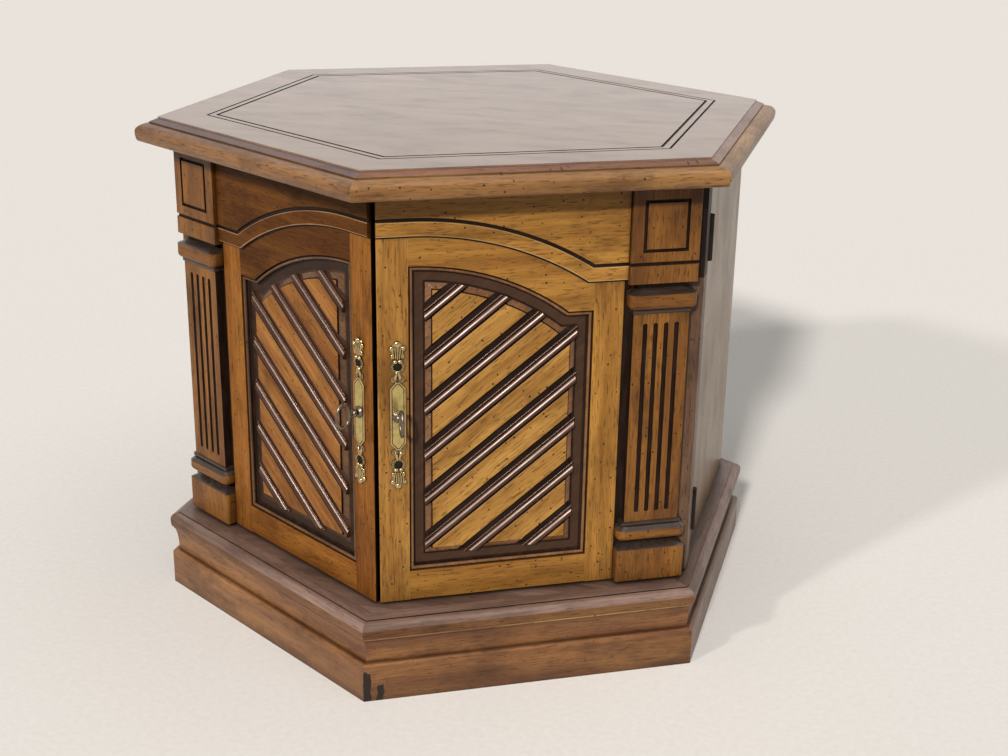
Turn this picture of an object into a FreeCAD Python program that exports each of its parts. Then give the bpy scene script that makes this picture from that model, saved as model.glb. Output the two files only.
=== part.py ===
import FreeCAD, Part
import math
import operator
import os

import Sketcher

# Six-sided side table with a cabinet: two carved doors meet at the front corner.
# The origin is the centre of the footprint on the floor, +Z is up and the front corner points to -Y.

SIDES = 6
HALF_TURN = 180.0 / SIDES
COS = math.cos(math.radians(HALF_TURN))
SIN = math.sin(math.radians(HALF_TURN))
TAN = math.tan(math.radians(HALF_TURN))

# Faces named by where they look, with the turn from facing -Y
FACE_TURNS = {
    "front_right": HALF_TURN,
    "right": 3 * HALF_TURN,
    "back_right": 5 * HALF_TURN,
    "back_left": 7 * HALF_TURN,
    "left": 9 * HALF_TURN,
    "front_left": 11 * HALF_TURN,
}
CLOSED_CORNER_TURNS = [4 * HALF_TURN, 6 * HALF_TURN, 8 * HALF_TURN]

# Driving sizes: millimetres, degrees for the reed angle, plain numbers for counts.
# An apothem is the distance from the upright centre line to a face.
SIZES = {
    "table_height": 508.0,
    # Top board and its edge moulding
    "top_overhang": 10.0,
    "top_thickness": 23.4,
    "edge_reach": 20.0,
    "edge_lip": 1.5,
    "edge_slope_run": 7.4,
    "edge_slope_drop": 3.2,
    "edge_step": 1.5,
    "edge_nose_height": 9.4,
    "edge_tuck": 2.5,
    "outer_line_inset": 41.4,
    "outer_line_width": 1.4,
    "inner_line_inset": 49.8,
    "inner_line_width": 2.2,
    "line_depth": 0.8,
    # Base rails and the nose moulding on them
    "rail_height": 66.0,
    "rail_thickness": 22.0,
    "plinth_set_back": 0.5,
    "plinth_height": 39.0,
    "plinth_round": 4.0,
    "cove_foot_in": 6.2,
    "cove_top_in": 2.0,
    "cove_lip": 3.0,
    "nose_overhang": 22.0,
    "nose_thickness": 16.6,
    "nose_step_in": 8.0,
    "nose_step": 1.0,
    "nose_height": 8.5,
    "nose_tuck": 1.2,
    # Case walls
    "wall_apothem": 262.0,
    "wall_thickness": 18.0,
    "glue_block_leg": 30.0,
    "glue_block_height": 60.0,
    # Doors: places and gaps
    "frame_set_back": 13.0,
    "frame_thickness": 23.0,
    "post_step": 4.0,
    "door_gap_bottom": 2.4,
    "door_gap_top": 2.6,
    "meeting_gap": 4.6,
    "meeting_round": 2.5,
    "end_overhang": 6.0,
    "glue_gap": 0.2,
    # Door frame and its arched opening
    "meeting_stile_width": 28.8,
    "post_width": 78.5,
    "outer_stile_width": 28.8,
    "bottom_rail_height": 30.2,
    "top_rail_height": 66.6,
    "arch_shoulder": 23.7,
    "arch_drop": 51.0,
    # Frieze board above the arch
    "frieze_thickness": 3.5,
    "frieze_crown_depth": 23.9,
    "frieze_shoulder_width": 31.0,
    "frieze_arch_drop": 50.6,
    "band_width": 15.0,
    "frieze_groove_width": 3.3,
    "frieze_groove_depth": 2.2,
    # Panel, its moulding and its reeds
    "tongue_width": 7.5,
    "tongue_gap": 0.5,
    "rebate_depth": 11.0,
    "panel_back_gap": 2.0,
    "floor_depth": 6.0,
    "moulding_width": 6.0,
    "moulding_flat": 2.3,
    "moulding_set": 0.8,
    "margin_width": 9.0,
    "bevel_width": 6.0,
    "field_set": 0.5,
    "reed_angle": 38.2,
    "reed_count": 8,
    "reed_pitch": 35.7,
    "first_reed_drop": 33.0,
    "reed_radius": 3.3,
    "reed_rise": 1.0,
    "reed_quirk": 0.8,
    "reed_groove_width": 15.7,
    "reed_groove_depth": 3.5,
    "reed_slope_width": 6.5,
    # Pilaster
    "pilaster_gap": 0.1,
    "shaft_set_in": 7.8,
    "shaft_proud": 9.5,
    "flute_count": 4,
    "flute_pitch": 10.3,
    "flute_width": 4.4,
    "flute_depth": 3.0,
    "flute_margin": 10.0,
    "plinth_block_width": 70.0,
    "plinth_block_height": 40.0,
    "plinth_block_proud": 14.0,
    "plinth_block_bevel": 6.5,
    "plinth_block_round": 3.0,
    "base_set_in": 0.2,
    "base_proud": 15.5,
    "base_neck_height": 5.0,
    "base_torus_height": 13.5,
    "base_fillet_height": 4.5,
    "capital_set_in": 2.2,
    "capital_proud": 16.0,
    "capital_fillet_height": 4.5,
    "capital_torus_height": 17.5,
    "capital_neck_height": 6.5,
    "torus_round": 5.0,
    "torus_bevel": 4.0,
    "neck_set_in": 4.8,
    "neck_proud": 12.5,
    "block_set_in": 2.0,
    "block_height": 93.5,
    "block_proud": 12.0,
    "square_width": 43.6,
    "square_height": 49.0,
    "square_from_top": 14.4,
    "block_groove_width": 3.0,
    "block_groove_depth": 2.5,
    # Escutcheon plate and key-shaped pull
    "pull_inset": 18.5,
    "pull_height": 189.6,
    "plate_width": 14.6,
    "plate_length": 65.0,
    "plate_point": 6.0,
    "plate_root_width": 6.0,
    "plate_lap": 1.5,
    "plate_thickness": 1.8,
    "scroll_width": 10.4,
    "scroll_length": 12.0,
    "ring_radius": 6.7,
    "ring_hole_radius": 3.8,
    "shell_width": 13.8,
    "shell_length": 18.0,
    "shell_widest": 8.0,
    "collar_radius": 5.6,
    "collar_length": 2.6,
    "stem_radius": 2.0,
    "stem_length": 7.6,
    "bead_radius": 4.2,
    "bead_length": 5.2,
    "bow_height": 27.0,
    "bow_depth": 18.0,
    "bow_wire": 4.4,
    "bow_round": 1.9,
    "bow_lap": 1.2,
    # Hinges, catch and strikes
    "hinge_gap": 3.0,
    "hinge_leaf": 1.0,
    "leaf_width": 24.0,
    "hinge_height": 44.5,
    "hinge_from_top": 38.5,
    "hinge_from_bottom": 34.0,
    "knuckle_out": 5.7,
    "knuckle_radius": 3.4,
    "knuckle_count": 5,
    "knuckle_gap": 0.15,
    "pin_radius": 1.5,
    "pin_gap": 0.05,
    "leaf_gap": 0.5,
    "relief_gap": 1.2,
    "catch_reach": 30.0,
    "catch_depth": 16.0,
    "catch_height": 18.0,
    "catch_gap": 0.4,
    "strike_thickness": 1.0,
    "strike_width": 24.0,
    "strike_height": 16.0,
    "strike_inset": 2.5,
}


class Size:
    """A length with its value and the sheet expression that gives it."""

    def __init__(self, text, value):
        self.text = text
        self.value = value

    def __add__(self, other):
        return joined(self, "+", other)

    def __radd__(self, other):
        return joined(other, "+", self)

    def __sub__(self, other):
        return joined(self, "-", other)

    def __rsub__(self, other):
        return joined(other, "-", self)

    def __mul__(self, other):
        return joined(self, "*", other)

    def __rmul__(self, other):
        return joined(other, "*", self)

    def __truediv__(self, other):
        return joined(self, "/", other)

    def __neg__(self):
        return joined(0.0, "-", self)


OPERATIONS = {"+": operator.add, "-": operator.sub, "*": operator.mul, "/": operator.truediv}


def as_size(number):
    """A plain number as a Size."""
    if isinstance(number, Size):
        return number
    return Size(f"{number:.9f}", float(number))


def joined(left, sign, right):
    """Two sizes joined by an arithmetic sign."""
    left, right = as_size(left), as_size(right)
    return Size(f"({left.text} {sign} {right.text})", OPERATIONS[sign](left.value, right.value))


def root(square):
    """Square root of a size."""
    return Size(f"sqrt({square.text})", math.sqrt(square.value))


def sine(angle):
    """Sine of an angle given in degrees."""
    return Size(f"sin({angle.text} * 1 deg)", math.sin(math.radians(angle.value)))


def cosine(angle):
    """Cosine of an angle given in degrees."""
    return Size(f"cos({angle.text} * 1 deg)", math.cos(math.radians(angle.value)))


def tangent_radius(run, rise):
    """Radius of an arc over a run and a rise that ends square to the run."""
    return (run * run + rise * rise) / (2 * run)


# Document and sheet

doc = FreeCAD.newDocument("SideTable")
sheet = doc.addObject("Spreadsheet::Sheet", "Sizes")
for row, (alias, number) in enumerate(SIZES.items(), start=1):
    sheet.set(f"A{row}", alias)
    sheet.set(f"B{row}", str(number))
    sheet.setAlias(f"B{row}", alias)
doc.recompute()


class Sheet:
    """Every driving size by its name."""


size = Sheet()
for alias, number in SIZES.items():
    setattr(size, alias, Size(f"Sizes.{alias}", float(number)))

subparts = []


def keep(subpart):
    """Note a finished object that becomes a file."""
    subparts.append(subpart)
    return subpart


# Sketches and features

def bind(item, path, amount):
    """Tie one property to a sheet expression."""
    item.setExpression(path, as_size(amount).text)


def new_body(label):
    body = doc.addObject("PartDesign::Body", label)
    body.Label = label
    return body


def new_sketch(body, plane, away=0.0, raised=0.0):
    """Sketch on one of the body's origin planes, moved along its normal and its own second axis."""
    sketch = body.newObject("Sketcher::SketchObject", "Outline")
    support = [item for item in body.Origin.OriginFeatures if item.Role == plane]
    sketch.AttachmentSupport = [(support[0], "")]
    sketch.MapMode = "FlatFace"
    bind(sketch, "AttachmentOffset.Base.z", away)
    bind(sketch, "AttachmentOffset.Base.y", raised)
    return sketch


def arc_between(start, end, radius, turn):
    """Short arc from start to end, turning left (1) or right (-1), as a sketch curve."""
    middle = (start + end) * 0.5
    chord = end - start
    height = math.sqrt(max(radius * radius - chord.Length ** 2 / 4, 0.0))
    aside = FreeCAD.Vector(-chord.y, chord.x, 0).normalize() * turn
    centre = middle + aside * height
    first, last = (start, end) if turn > 0 else (end, start)
    angles = [math.atan2(point.y - centre.y, point.x - centre.x) for point in (first, last)]
    circle = Part.Circle(centre, FreeCAD.Vector(0, 0, 1), radius)
    return Part.ArcOfCircle(circle, angles[0], angles[1])


def draw(sketch, path):
    """Closed outline of corners (x, y), or arc ends (x, y, radius, turn) reached by an arc."""
    corners = [tuple(as_size(number) for number in corner[:2]) for corner in path]
    points = [FreeCAD.Vector(x.value, y.value, 0) for x, y in corners]
    first = sketch.GeometryCount
    curves, starts, ends, radii = [], [], [], {}
    for index in range(len(path)):
        target = (index + 1) % len(path)
        if len(path[target]) > 2:
            radius, turn = as_size(path[target][2]), path[target][3]
            curves.append(arc_between(points[index], points[target], radius.value, turn))
            radii[index] = radius
            starts.append(1 if turn > 0 else 2)
            ends.append(2 if turn > 0 else 1)
        else:
            curves.append(Part.LineSegment(points[index], points[target]))
            starts.append(1)
            ends.append(2)
    sketch.addGeometry(curves)
    rules, sources = [], []
    for index, (x, y) in enumerate(corners):
        here = first + index
        target = (index + 1) % len(path)
        rules.append(Sketcher.Constraint("Coincident", here, ends[index], first + target, starts[target]))
        sources.append(None)
        rules.append(Sketcher.Constraint("DistanceX", -1, 1, here, starts[index], x.value))
        sources.append(x)
        rules.append(Sketcher.Constraint("DistanceY", -1, 1, here, starts[index], y.value))
        sources.append(y)
        if index in radii:
            rules.append(Sketcher.Constraint("Radius", here, radii[index].value))
            sources.append(radii[index])
    add_rules(sketch, rules, sources)


def draw_circle(sketch, x, y, radius):
    """Circle with a bound centre and radius."""
    x, y, radius = as_size(x), as_size(y), as_size(radius)
    here = sketch.GeometryCount
    centre = FreeCAD.Vector(x.value, y.value, 0)
    sketch.addGeometry(Part.Circle(centre, FreeCAD.Vector(0, 0, 1), radius.value))
    rules = [
        Sketcher.Constraint("DistanceX", -1, 1, here, 3, x.value),
        Sketcher.Constraint("DistanceY", -1, 1, here, 3, y.value),
        Sketcher.Constraint("Radius", here, radius.value),
    ]
    add_rules(sketch, rules, [x, y, radius])


def add_rules(sketch, rules, sources):
    """Add constraints and tie each one that has a source to the sheet."""
    first = sketch.ConstraintCount
    sketch.addConstraint(rules)
    for index, source in enumerate(sources):
        if source is not None:
            bind(sketch, f"Constraints[{first + index}]", source)


def add_feature(body, kind, sketch, length, both_ways=False, turned=False):
    """Pad or Pocket of a sketch."""
    feature = body.newObject(f"PartDesign::{kind}", kind)
    feature.Profile = sketch
    feature.SideType = "Symmetric" if both_ways else "One side"
    feature.Reversed = turned
    bind(feature, "Length", length)
    sketch.Visibility = False
    return feature


def pad(body, sketch, length, both_ways=False):
    return add_feature(body, "Pad", sketch, length, both_ways)


def pocket(body, sketch, length, both_ways=False, turned=False):
    """Pocket that has to take material away."""
    doc.recompute()
    before = body.Shape.Volume
    feature = add_feature(body, "Pocket", sketch, length, both_ways, turned)
    doc.recompute()
    if not body.Shape.Volume < before:
        raise ValueError(f"{body.Label}: a pocket cuts nothing")
    return feature


def pattern(body, feature, direction, count, length, turned=False):
    """Row of copies of a feature along a sketch axis."""
    row = body.newObject("PartDesign::LinearPattern", "Row")
    row.Originals = [feature]
    row.Direction = direction
    row.Reversed = turned
    bind(row, "Length", length)
    bind(row, "Occurrences", count)
    body.Tip = row
    return row


def loft(body, kind, lower, upper):
    """Straight loft between two sketches of the same outline."""
    feature = body.newObject(f"PartDesign::{kind}Loft", "Loft")
    feature.Profile = lower
    feature.Sections = [upper]
    feature.Ruled = True
    return feature


def soften(body, kind, wanted, amount):
    """Fillet or Chamfer on the edges whose middle and ends satisfy a test."""
    doc.recompute()
    names = []
    tip = body.Tip
    for index, edge in enumerate(tip.Shape.Edges, start=1):
        middle = edge.valueAt((edge.FirstParameter + edge.LastParameter) / 2)
        if wanted([middle] + [vertex.Point for vertex in edge.Vertexes]):
            names.append(f"Edge{index}")
    if not names:
        raise ValueError(f"{body.Label}: no edges to soften")
    feature = body.newObject(f"PartDesign::{kind}", kind)
    feature.Base = (tip, names)
    bind(feature, "Radius" if kind == "Fillet" else "Size", amount)
    return feature


def on(points, axis, target):
    """Whether all points have one coordinate."""
    return all(abs(getattr(point, axis) - as_size(target).value) < 1e-4 for point in points)


def turned(body, angle):
    """Give a body its turn about the upright centre line and keep it."""
    body.Placement = FreeCAD.Placement(
        FreeCAD.Vector(0, 0, 0), FreeCAD.Rotation(FreeCAD.Vector(0, 0, 1), angle))
    return body


def mirrored(source, label):
    """Left-hand twin of a right-hand piece."""
    twin = doc.addObject("Part::Mirroring", label)
    twin.Label = label
    twin.Source = source
    twin.Base = FreeCAD.Vector(0, 0, 0)
    twin.Normal = FreeCAD.Vector(1, 0, 0)
    return twin


def group(label, members):
    """Several like solids in one node."""
    compound = doc.addObject("Part::Compound", label)
    compound.Label = label
    compound.Links = members
    return compound


def upright(label, outline, low, high):
    """Board or block drawn in plan."""
    body = new_body(label)
    sketch = new_sketch(body, "XY_Plane", low)
    draw(sketch, outline)
    pad(body, sketch, high - low)
    return body


def slab(label, outline, back, front):
    """Piece drawn on the door's face, from one apothem out to another."""
    body = new_body(label)
    add_slab(body, outline, back, front)
    return body


def add_slab(body, outline, back, front):
    sketch = new_sketch(body, "XZ_Plane", back)
    draw(sketch, outline)
    return pad(body, sketch, front - back)


def cut_slab(body, outlines, back, front):
    """Recess drawn on the door's face, between two apothems."""
    sketch = new_sketch(body, "XZ_Plane", back)
    for outline in outlines:
        draw(sketch, outline)
    return pocket(body, sketch, front - back, turned=True)


def rectangle(left, right, low, high):
    return [(left, low), (right, low), (right, high), (left, high)]


def hexagon(apothem):
    """Six corners, the first at the front."""
    corners = []
    for index in range(SIDES):
        angle = math.radians(2 * HALF_TURN * index - 90)
        corners.append((apothem * (math.cos(angle) / COS), apothem * (math.sin(angle) / COS)))
    return corners


def mitred_run(label, profile, reach, angle):
    """Moulding of one profile (-apothem, height), mitred at both corners of its face."""
    body = new_body(label)
    section = new_sketch(body, "YZ_Plane")
    draw(section, profile)
    pad(body, section, 2 * reach, both_ways=True)
    for side in (1, -1):
        waste = new_sketch(body, "XY_Plane")
        draw(waste, [(0, 0), (side * TAN * reach, -reach), (side * reach, -reach), (side * reach, 0)])
        pocket(body, waste, 2 * size.table_height, both_ways=True)
    return turned(body, angle)


# Levels and lines that several pieces share

underside = size.table_height - size.top_thickness
deck_top = size.rail_height + size.nose_thickness
door_bottom = deck_top + size.door_gap_bottom
door_top = underside - size.door_gap_top
frame_face = size.wall_apothem - size.frame_set_back
frame_back = frame_face - size.frame_thickness
post_face = frame_face - size.post_step
case_front = frame_back - size.hinge_gap
top_apothem = size.wall_apothem + size.top_overhang
nose_apothem = size.wall_apothem + size.nose_overhang
plinth_apothem = nose_apothem - size.plinth_set_back


def meeting_line(apothem):
    """Place along the door where its meeting edge lies at an apothem."""
    return (size.meeting_gap / 2 - apothem * SIN) / COS


def end_line(apothem):
    """Place along the door where its outer end lies at an apothem."""
    return (size.wall_apothem + size.end_overhang - apothem * SIN) / COS


opening_left = meeting_line(frame_face) + size.meeting_stile_width
stile_edge = end_line(post_face) - size.post_width
opening_right = stile_edge - size.outer_stile_width
opening_bottom = door_bottom + size.bottom_rail_height
opening_top = door_top - size.top_rail_height
arch_radius = tangent_radius(size.arch_drop, opening_right - size.arch_shoulder - opening_left)
arch_centre = opening_top - arch_radius
pilaster = stile_edge + size.pilaster_gap + size.plinth_block_width / 2
frieze_face = frame_face + size.frieze_thickness
frieze_crown = door_top - size.frieze_crown_depth
frieze_radius = tangent_radius(size.frieze_arch_drop, stile_edge - size.frieze_shoulder_width - opening_left)
frieze_centre = frieze_crown - frieze_radius
frieze_shoulder = frieze_crown - size.frieze_arch_drop


def arch_reach(radius, centre, level):
    """Place along the door where an arch comes down to a level."""
    rise = level - centre
    return opening_left + root(radius * radius - rise * rise)


def opening(inset):
    """Arched opening of the door frame, drawn in by an inset."""
    radius = arch_radius - inset
    shoulder = opening_top - size.arch_drop - inset
    left_top = arch_centre + root(radius * radius - inset * inset)
    return [
        (opening_left + inset, opening_bottom + inset),
        (opening_right - inset, opening_bottom + inset),
        (opening_right - inset, shoulder),
        (arch_reach(radius, arch_centre, shoulder), shoulder),
        (opening_left + inset, left_top, radius, 1),
    ]


def frieze_curve(drop):
    """Corner, cusp and radius of the frieze arch, moved down by a drop."""
    radius = frieze_radius - drop
    shoulder = frieze_shoulder - drop
    return frieze_crown - drop, arch_reach(radius, frieze_centre, shoulder), shoulder, radius


# Top

def top_panel():
    body = upright("top_panel", hexagon(top_apothem), underside, size.table_height)
    lines = new_sketch(body, "XY_Plane", size.table_height)
    for inset, width in ((size.outer_line_inset, size.outer_line_width),
                         (size.inner_line_inset, size.inner_line_width)):
        draw(lines, hexagon(top_apothem - inset + width / 2))
        draw(lines, hexagon(top_apothem - inset - width / 2))
    pocket(body, lines, size.line_depth)
    return body


def top_edge(face, angle):
    inner = top_apothem
    slope_end = inner + size.edge_slope_run
    nose = inner + size.edge_reach
    lip = size.table_height - size.edge_lip
    step = lip - size.edge_slope_drop - size.edge_step
    widest = underside + size.edge_nose_height
    profile = [
        (-inner, underside),
        (-inner, lip),
        (-slope_end, step + size.edge_step),
        (-slope_end, step),
        (-nose, widest, tangent_radius(nose - slope_end, step - widest), 1),
        (-(nose - size.edge_tuck), underside, tangent_radius(size.edge_tuck, widest - underside), 1),
    ]
    return mitred_run(f"top_edge_{face}", profile, 2 * nose, angle)


# Base

def nose_moulding(face, angle):
    bottom = size.rail_height
    deck_edge = size.wall_apothem
    nose = nose_apothem
    step_apothem = nose - size.nose_step_in
    step = deck_top - size.nose_step
    widest = bottom + size.nose_height
    profile = [
        (-deck_edge, bottom),
        (-deck_edge, deck_top),
        (-step_apothem, deck_top),
        (-step_apothem, step),
        (-nose, widest, tangent_radius(size.nose_step_in, step - widest), 1),
        (-(nose - size.nose_tuck), bottom, tangent_radius(size.nose_tuck, widest - bottom), 1),
    ]
    return mitred_run(f"nose_moulding_{face}", profile, 2 * nose, angle)


def base_rail(face, angle):
    outer = plinth_apothem
    foot = outer - size.cove_foot_in
    lip = outer - size.cove_top_in
    lip_low = size.rail_height - size.cove_lip
    cove = tangent_radius(lip - foot, lip_low - size.plinth_height)
    profile = [
        (-(outer - size.rail_thickness), 0),
        (-(outer - size.rail_thickness), size.rail_height),
        (-lip, size.rail_height),
        (-lip, lip_low),
        (-foot, size.plinth_height, cove, -1),
        (-(outer - size.plinth_round), size.plinth_height),
        (-outer, size.plinth_height - size.plinth_round, size.plinth_round, 1),
        (-outer, 0),
    ]
    return mitred_run(f"base_rail_{face}", profile, 2 * outer, angle)


# Case walls

def side_panel():
    outer = size.wall_apothem
    inner = outer - size.wall_thickness
    outline = [
        ((SIN * outer - case_front) / COS, -outer),
        (TAN * outer, -outer),
        (TAN * inner, -inner),
        ((SIN * inner - case_front) / COS, -inner),
    ]
    return turned(upright("side_panel_right", outline, deck_top, underside), FACE_TURNS["right"])


def back_panel():
    outer = size.wall_apothem
    inner = outer - size.wall_thickness
    outline = [(-TAN * outer, -outer), (TAN * outer, -outer), (TAN * inner, -inner), (-TAN * inner, -inner)]
    return turned(upright("back_panel_right", outline, deck_top, underside), FACE_TURNS["back_right"])


def glue_blocks():
    corner = (size.wall_apothem - size.wall_thickness) / COS
    across = COS * size.glue_block_leg
    along = SIN * size.glue_block_leg - corner
    blocks = []
    for number, angle in enumerate(CLOSED_CORNER_TURNS, start=1):
        outline = [(0, -corner), (across, along), (-across, along)]
        block = upright(f"glue_block_{number}", outline, underside - size.glue_block_height, underside)
        blocks.append(turned(block, angle))
    return group("glue_blocks", blocks)


def door_catch():
    """Double catch whose two faces stand parallel to the backs of the doors."""
    face = frame_back - size.strike_thickness - size.catch_gap
    reach = size.catch_reach
    front = []
    back = []
    for place in (-reach, as_size(0.0), reach):
        inward = SIN * reach if place.value else as_size(0.0)
        front.append((place, (inward - face) / COS))
        back.append((place, (inward - face + size.catch_depth) / COS))
    outline = front + back[::-1]
    return upright("door_catch", outline, underside - size.catch_height, underside)


# Door frame

def cut_rebate(body):
    """Rebate at the back of the opening that the panel's tongue lies in."""
    cut_slab(body, [opening(-(size.tongue_width + size.tongue_gap))], frame_back,
             frame_back + size.rebate_depth)


def meeting_stile():
    outline = [
        (meeting_line(frame_face), -frame_face),
        (opening_left, -frame_face),
        (opening_left, -frame_back),
        (meeting_line(frame_back), -frame_back),
    ]
    body = upright("right_meeting_stile", outline, door_bottom, door_top)
    cut_rebate(body)
    arris = meeting_line(frame_face)
    soften(body, "Fillet", lambda points: on(points, "x", arris) and on(points, "y", -frame_face),
           size.meeting_round)
    return body


def outer_stile():
    relief = frame_back + size.knuckle_radius - size.hinge_gap / 2 + size.relief_gap
    relief_left = knuckle_place - size.knuckle_radius - size.relief_gap
    outline = [
        (opening_right, -frame_face),
        (stile_edge, -frame_face),
        (stile_edge, -post_face),
        (end_line(post_face), -post_face),
        (end_line(relief), -relief),
        (relief_left, -relief),
        (relief_left, -frame_back),
        (opening_right, -frame_back),
    ]
    body = upright("right_outer_stile", outline, door_bottom, door_top)
    cut_rebate(body)
    return body


def bottom_rail():
    outline = rectangle(opening_left, opening_right, door_bottom, opening_bottom)
    body = slab("right_bottom_rail", outline, frame_back, frame_face)
    cut_rebate(body)
    return body


def top_rail():
    shoulder = opening_top - size.arch_drop
    outline = [
        (opening_left, door_top),
        (opening_left, opening_top),
        (arch_reach(arch_radius, arch_centre, shoulder), shoulder, arch_radius, -1),
        (opening_right, shoulder),
        (opening_right, door_top),
    ]
    body = slab("right_top_rail", outline, frame_back, frame_face)
    cut_rebate(body)
    return body


def frieze_board():
    left = meeting_line(frame_face)
    crown, cusp, shoulder, radius = frieze_curve(size.band_width)
    outline = [
        (left, door_top),
        (left, crown),
        (opening_left, crown),
        (cusp, shoulder, radius, -1),
        (stile_edge, shoulder),
        (stile_edge, door_top),
    ]
    body = slab("right_frieze_board", outline, frame_face, frieze_face)
    half = size.frieze_groove_width / 2
    high, high_cusp, high_shoulder, high_radius = frieze_curve(-half)
    low, low_cusp, low_shoulder, low_radius = frieze_curve(half)
    groove = [
        (left, low),
        (opening_left, low),
        (low_cusp, low_shoulder, low_radius, -1),
        (stile_edge, low_shoulder),
        (stile_edge, high_shoulder),
        (high_cusp, high_shoulder),
        (opening_left, high, high_radius, 1),
        (left, high),
    ]
    cut_slab(body, [groove], frieze_face - size.frieze_groove_depth, frieze_face)
    return body


# Panel

def panel_levels():
    """Apothems of the recess floor and of the raised field."""
    return frame_face - size.floor_depth, frame_face - size.field_set


def panel_moulding():
    floor, _ = panel_levels()
    top = frame_face - size.moulding_set
    body = slab("right_panel_moulding", opening(size.glue_gap), floor, top)
    lower = new_sketch(body, "XZ_Plane", floor)
    draw(lower, opening(size.moulding_width))
    upper = new_sketch(body, "XZ_Plane", top)
    draw(upper, opening(size.moulding_flat))
    loft(body, "Subtractive", lower, upper)
    return body


def carved_panel():
    floor, field = panel_levels()
    seat = frame_back + size.rebate_depth
    foot = size.moulding_width + size.margin_width
    reach = opening_top - opening_bottom + opening_right - opening_left
    body = slab("right_carved_panel", opening(-size.tongue_width), frame_back + size.panel_back_gap, seat)
    add_slab(body, opening(size.glue_gap), seat, floor)
    lower = new_sketch(body, "XZ_Plane", floor)
    draw(lower, opening(foot))
    upper = new_sketch(body, "XZ_Plane", field)
    draw(upper, opening(foot + size.bevel_width))
    loft(body, "Additive", lower, upper)
    # Reeds lie across the slope: their section is drawn square to it
    slope = size.reed_angle
    start = (opening_top - foot - size.first_reed_drop) * cosine(slope) - (opening_left + foot) * sine(slope)
    row_length = (size.reed_count - 1) * size.reed_pitch
    groove = reed_section(body)
    crown = field + size.reed_rise
    groove_floor = field - size.reed_groove_depth
    groove_low = start - size.reed_radius - size.reed_quirk
    groove_high = groove_low + size.reed_groove_width
    draw(groove, [
        (-(crown + size.reed_rise), groove_low),
        (-groove_floor, groove_low),
        (-groove_floor, groove_high - size.reed_slope_width),
        (-field, groove_high),
        (-(crown + size.reed_rise), groove_high),
    ])
    cut = pocket(body, groove, 2 * reach, both_ways=True)
    pattern(body, cut, (groove, ["V_Axis"]), size.reed_count, row_length, turned=True)
    bead = reed_section(body)
    radius = size.reed_radius
    draw(bead, [
        (-floor, start + radius),
        (radius - crown, start + radius),
        (-crown, start, radius, 1),
        (radius - crown, start - radius, radius, 1),
        (-floor, start - radius),
    ])
    bar = pad(body, bead, 2 * reach, both_ways=True)
    pattern(body, bar, (bead, ["V_Axis"]), size.reed_count, row_length, turned=True)
    # Bead ends are cut off along the foot of the raised field
    border = rectangle(opening_left - 2 * reach, opening_right + 2 * reach, opening_bottom - 2 * reach,
                       opening_top + 2 * reach)
    cut_slab(body, [border, opening(foot)], floor, crown + size.reed_rise)
    return body


def reed_section(body):
    """Sketch whose normal runs along the reeds."""
    sketch = new_sketch(body, "YZ_Plane")
    sketch.AttachmentOffset = FreeCAD.Placement(
        FreeCAD.Vector(0, 0, 0), FreeCAD.Rotation(FreeCAD.Vector(-1, 0, 0), SIZES["reed_angle"]))
    bind(sketch, "AttachmentOffset.Rotation.Angle", size.reed_angle)
    return sketch


# Pilaster

plinth_top = door_bottom + size.plinth_block_height
base_top = plinth_top + size.base_neck_height + size.base_torus_height + size.base_fillet_height
block_bottom = door_top - size.block_height
capital_bottom = (block_bottom - size.capital_neck_height - size.capital_torus_height
                  - size.capital_fillet_height)


def member(set_in, low, high):
    """Outline of a pilaster member, narrower than the plinth block by a set-in at each side."""
    half = size.plinth_block_width / 2 - set_in
    return rectangle(pilaster - half, pilaster + half, low, high)


def showing(points, level):
    """Whether points lie on a level, other than along the face that is glued to the post."""
    return on(points, "z", level) and not on(points, "y", -post_face)


def plinth_block():
    face = post_face + size.plinth_block_proud
    body = slab("right_plinth_block", member(0.0, door_bottom, plinth_top), post_face, face)
    soften(body, "Chamfer", lambda points: on(points, "z", plinth_top) and on(points, "y", -face),
           size.plinth_block_bevel)
    soften(body, "Fillet", lambda points: on(points, "y", -face), size.plinth_block_round)
    return body


def turned_stack(label, set_in, proud, levels):
    """Neck, wide rounded member and fillet between four levels, from below."""
    foot, low, high, head = levels
    neck_face = post_face + size.neck_proud
    body = slab(label, member(set_in, low, high), post_face, post_face + proud)
    soften(body, "Chamfer", lambda points: showing(points, high), size.torus_bevel)
    soften(body, "Fillet", lambda points: showing(points, low), size.torus_round)
    add_slab(body, member(size.neck_set_in, foot, low), post_face, neck_face)
    add_slab(body, member(size.neck_set_in, high, head), post_face, neck_face)
    return body


def pilaster_base():
    low = plinth_top + size.base_neck_height
    levels = (plinth_top, low, low + size.base_torus_height, base_top)
    return turned_stack("right_pilaster_base", size.base_set_in, size.base_proud, levels)


def pilaster_capital():
    low = capital_bottom + size.capital_fillet_height
    levels = (capital_bottom, low, low + size.capital_torus_height, block_bottom)
    return turned_stack("right_pilaster_capital", size.capital_set_in, size.capital_proud, levels)


def fluted_shaft():
    face = post_face + size.shaft_proud
    outline = member(size.shaft_set_in, base_top, capital_bottom)
    body = slab("right_fluted_shaft", outline, post_face, face)
    half = size.flute_width / 2
    row_length = (size.flute_count - 1) * size.flute_pitch
    first = pilaster - row_length / 2
    low = base_top + size.flute_margin + half
    high = capital_bottom - size.flute_margin - half
    sketch = new_sketch(body, "XZ_Plane", face - size.flute_depth)
    draw(sketch, [
        (first - half, high, half, 1),
        (first - half, low),
        (first, low - half, half, 1),
        (first + half, low, half, 1),
        (first + half, high),
        (first, high + half, half, 1),
    ])
    flute = pocket(body, sketch, size.flute_depth, turned=True)
    pattern(body, flute, (sketch, ["H_Axis"]), size.flute_count, row_length)
    return body


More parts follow.
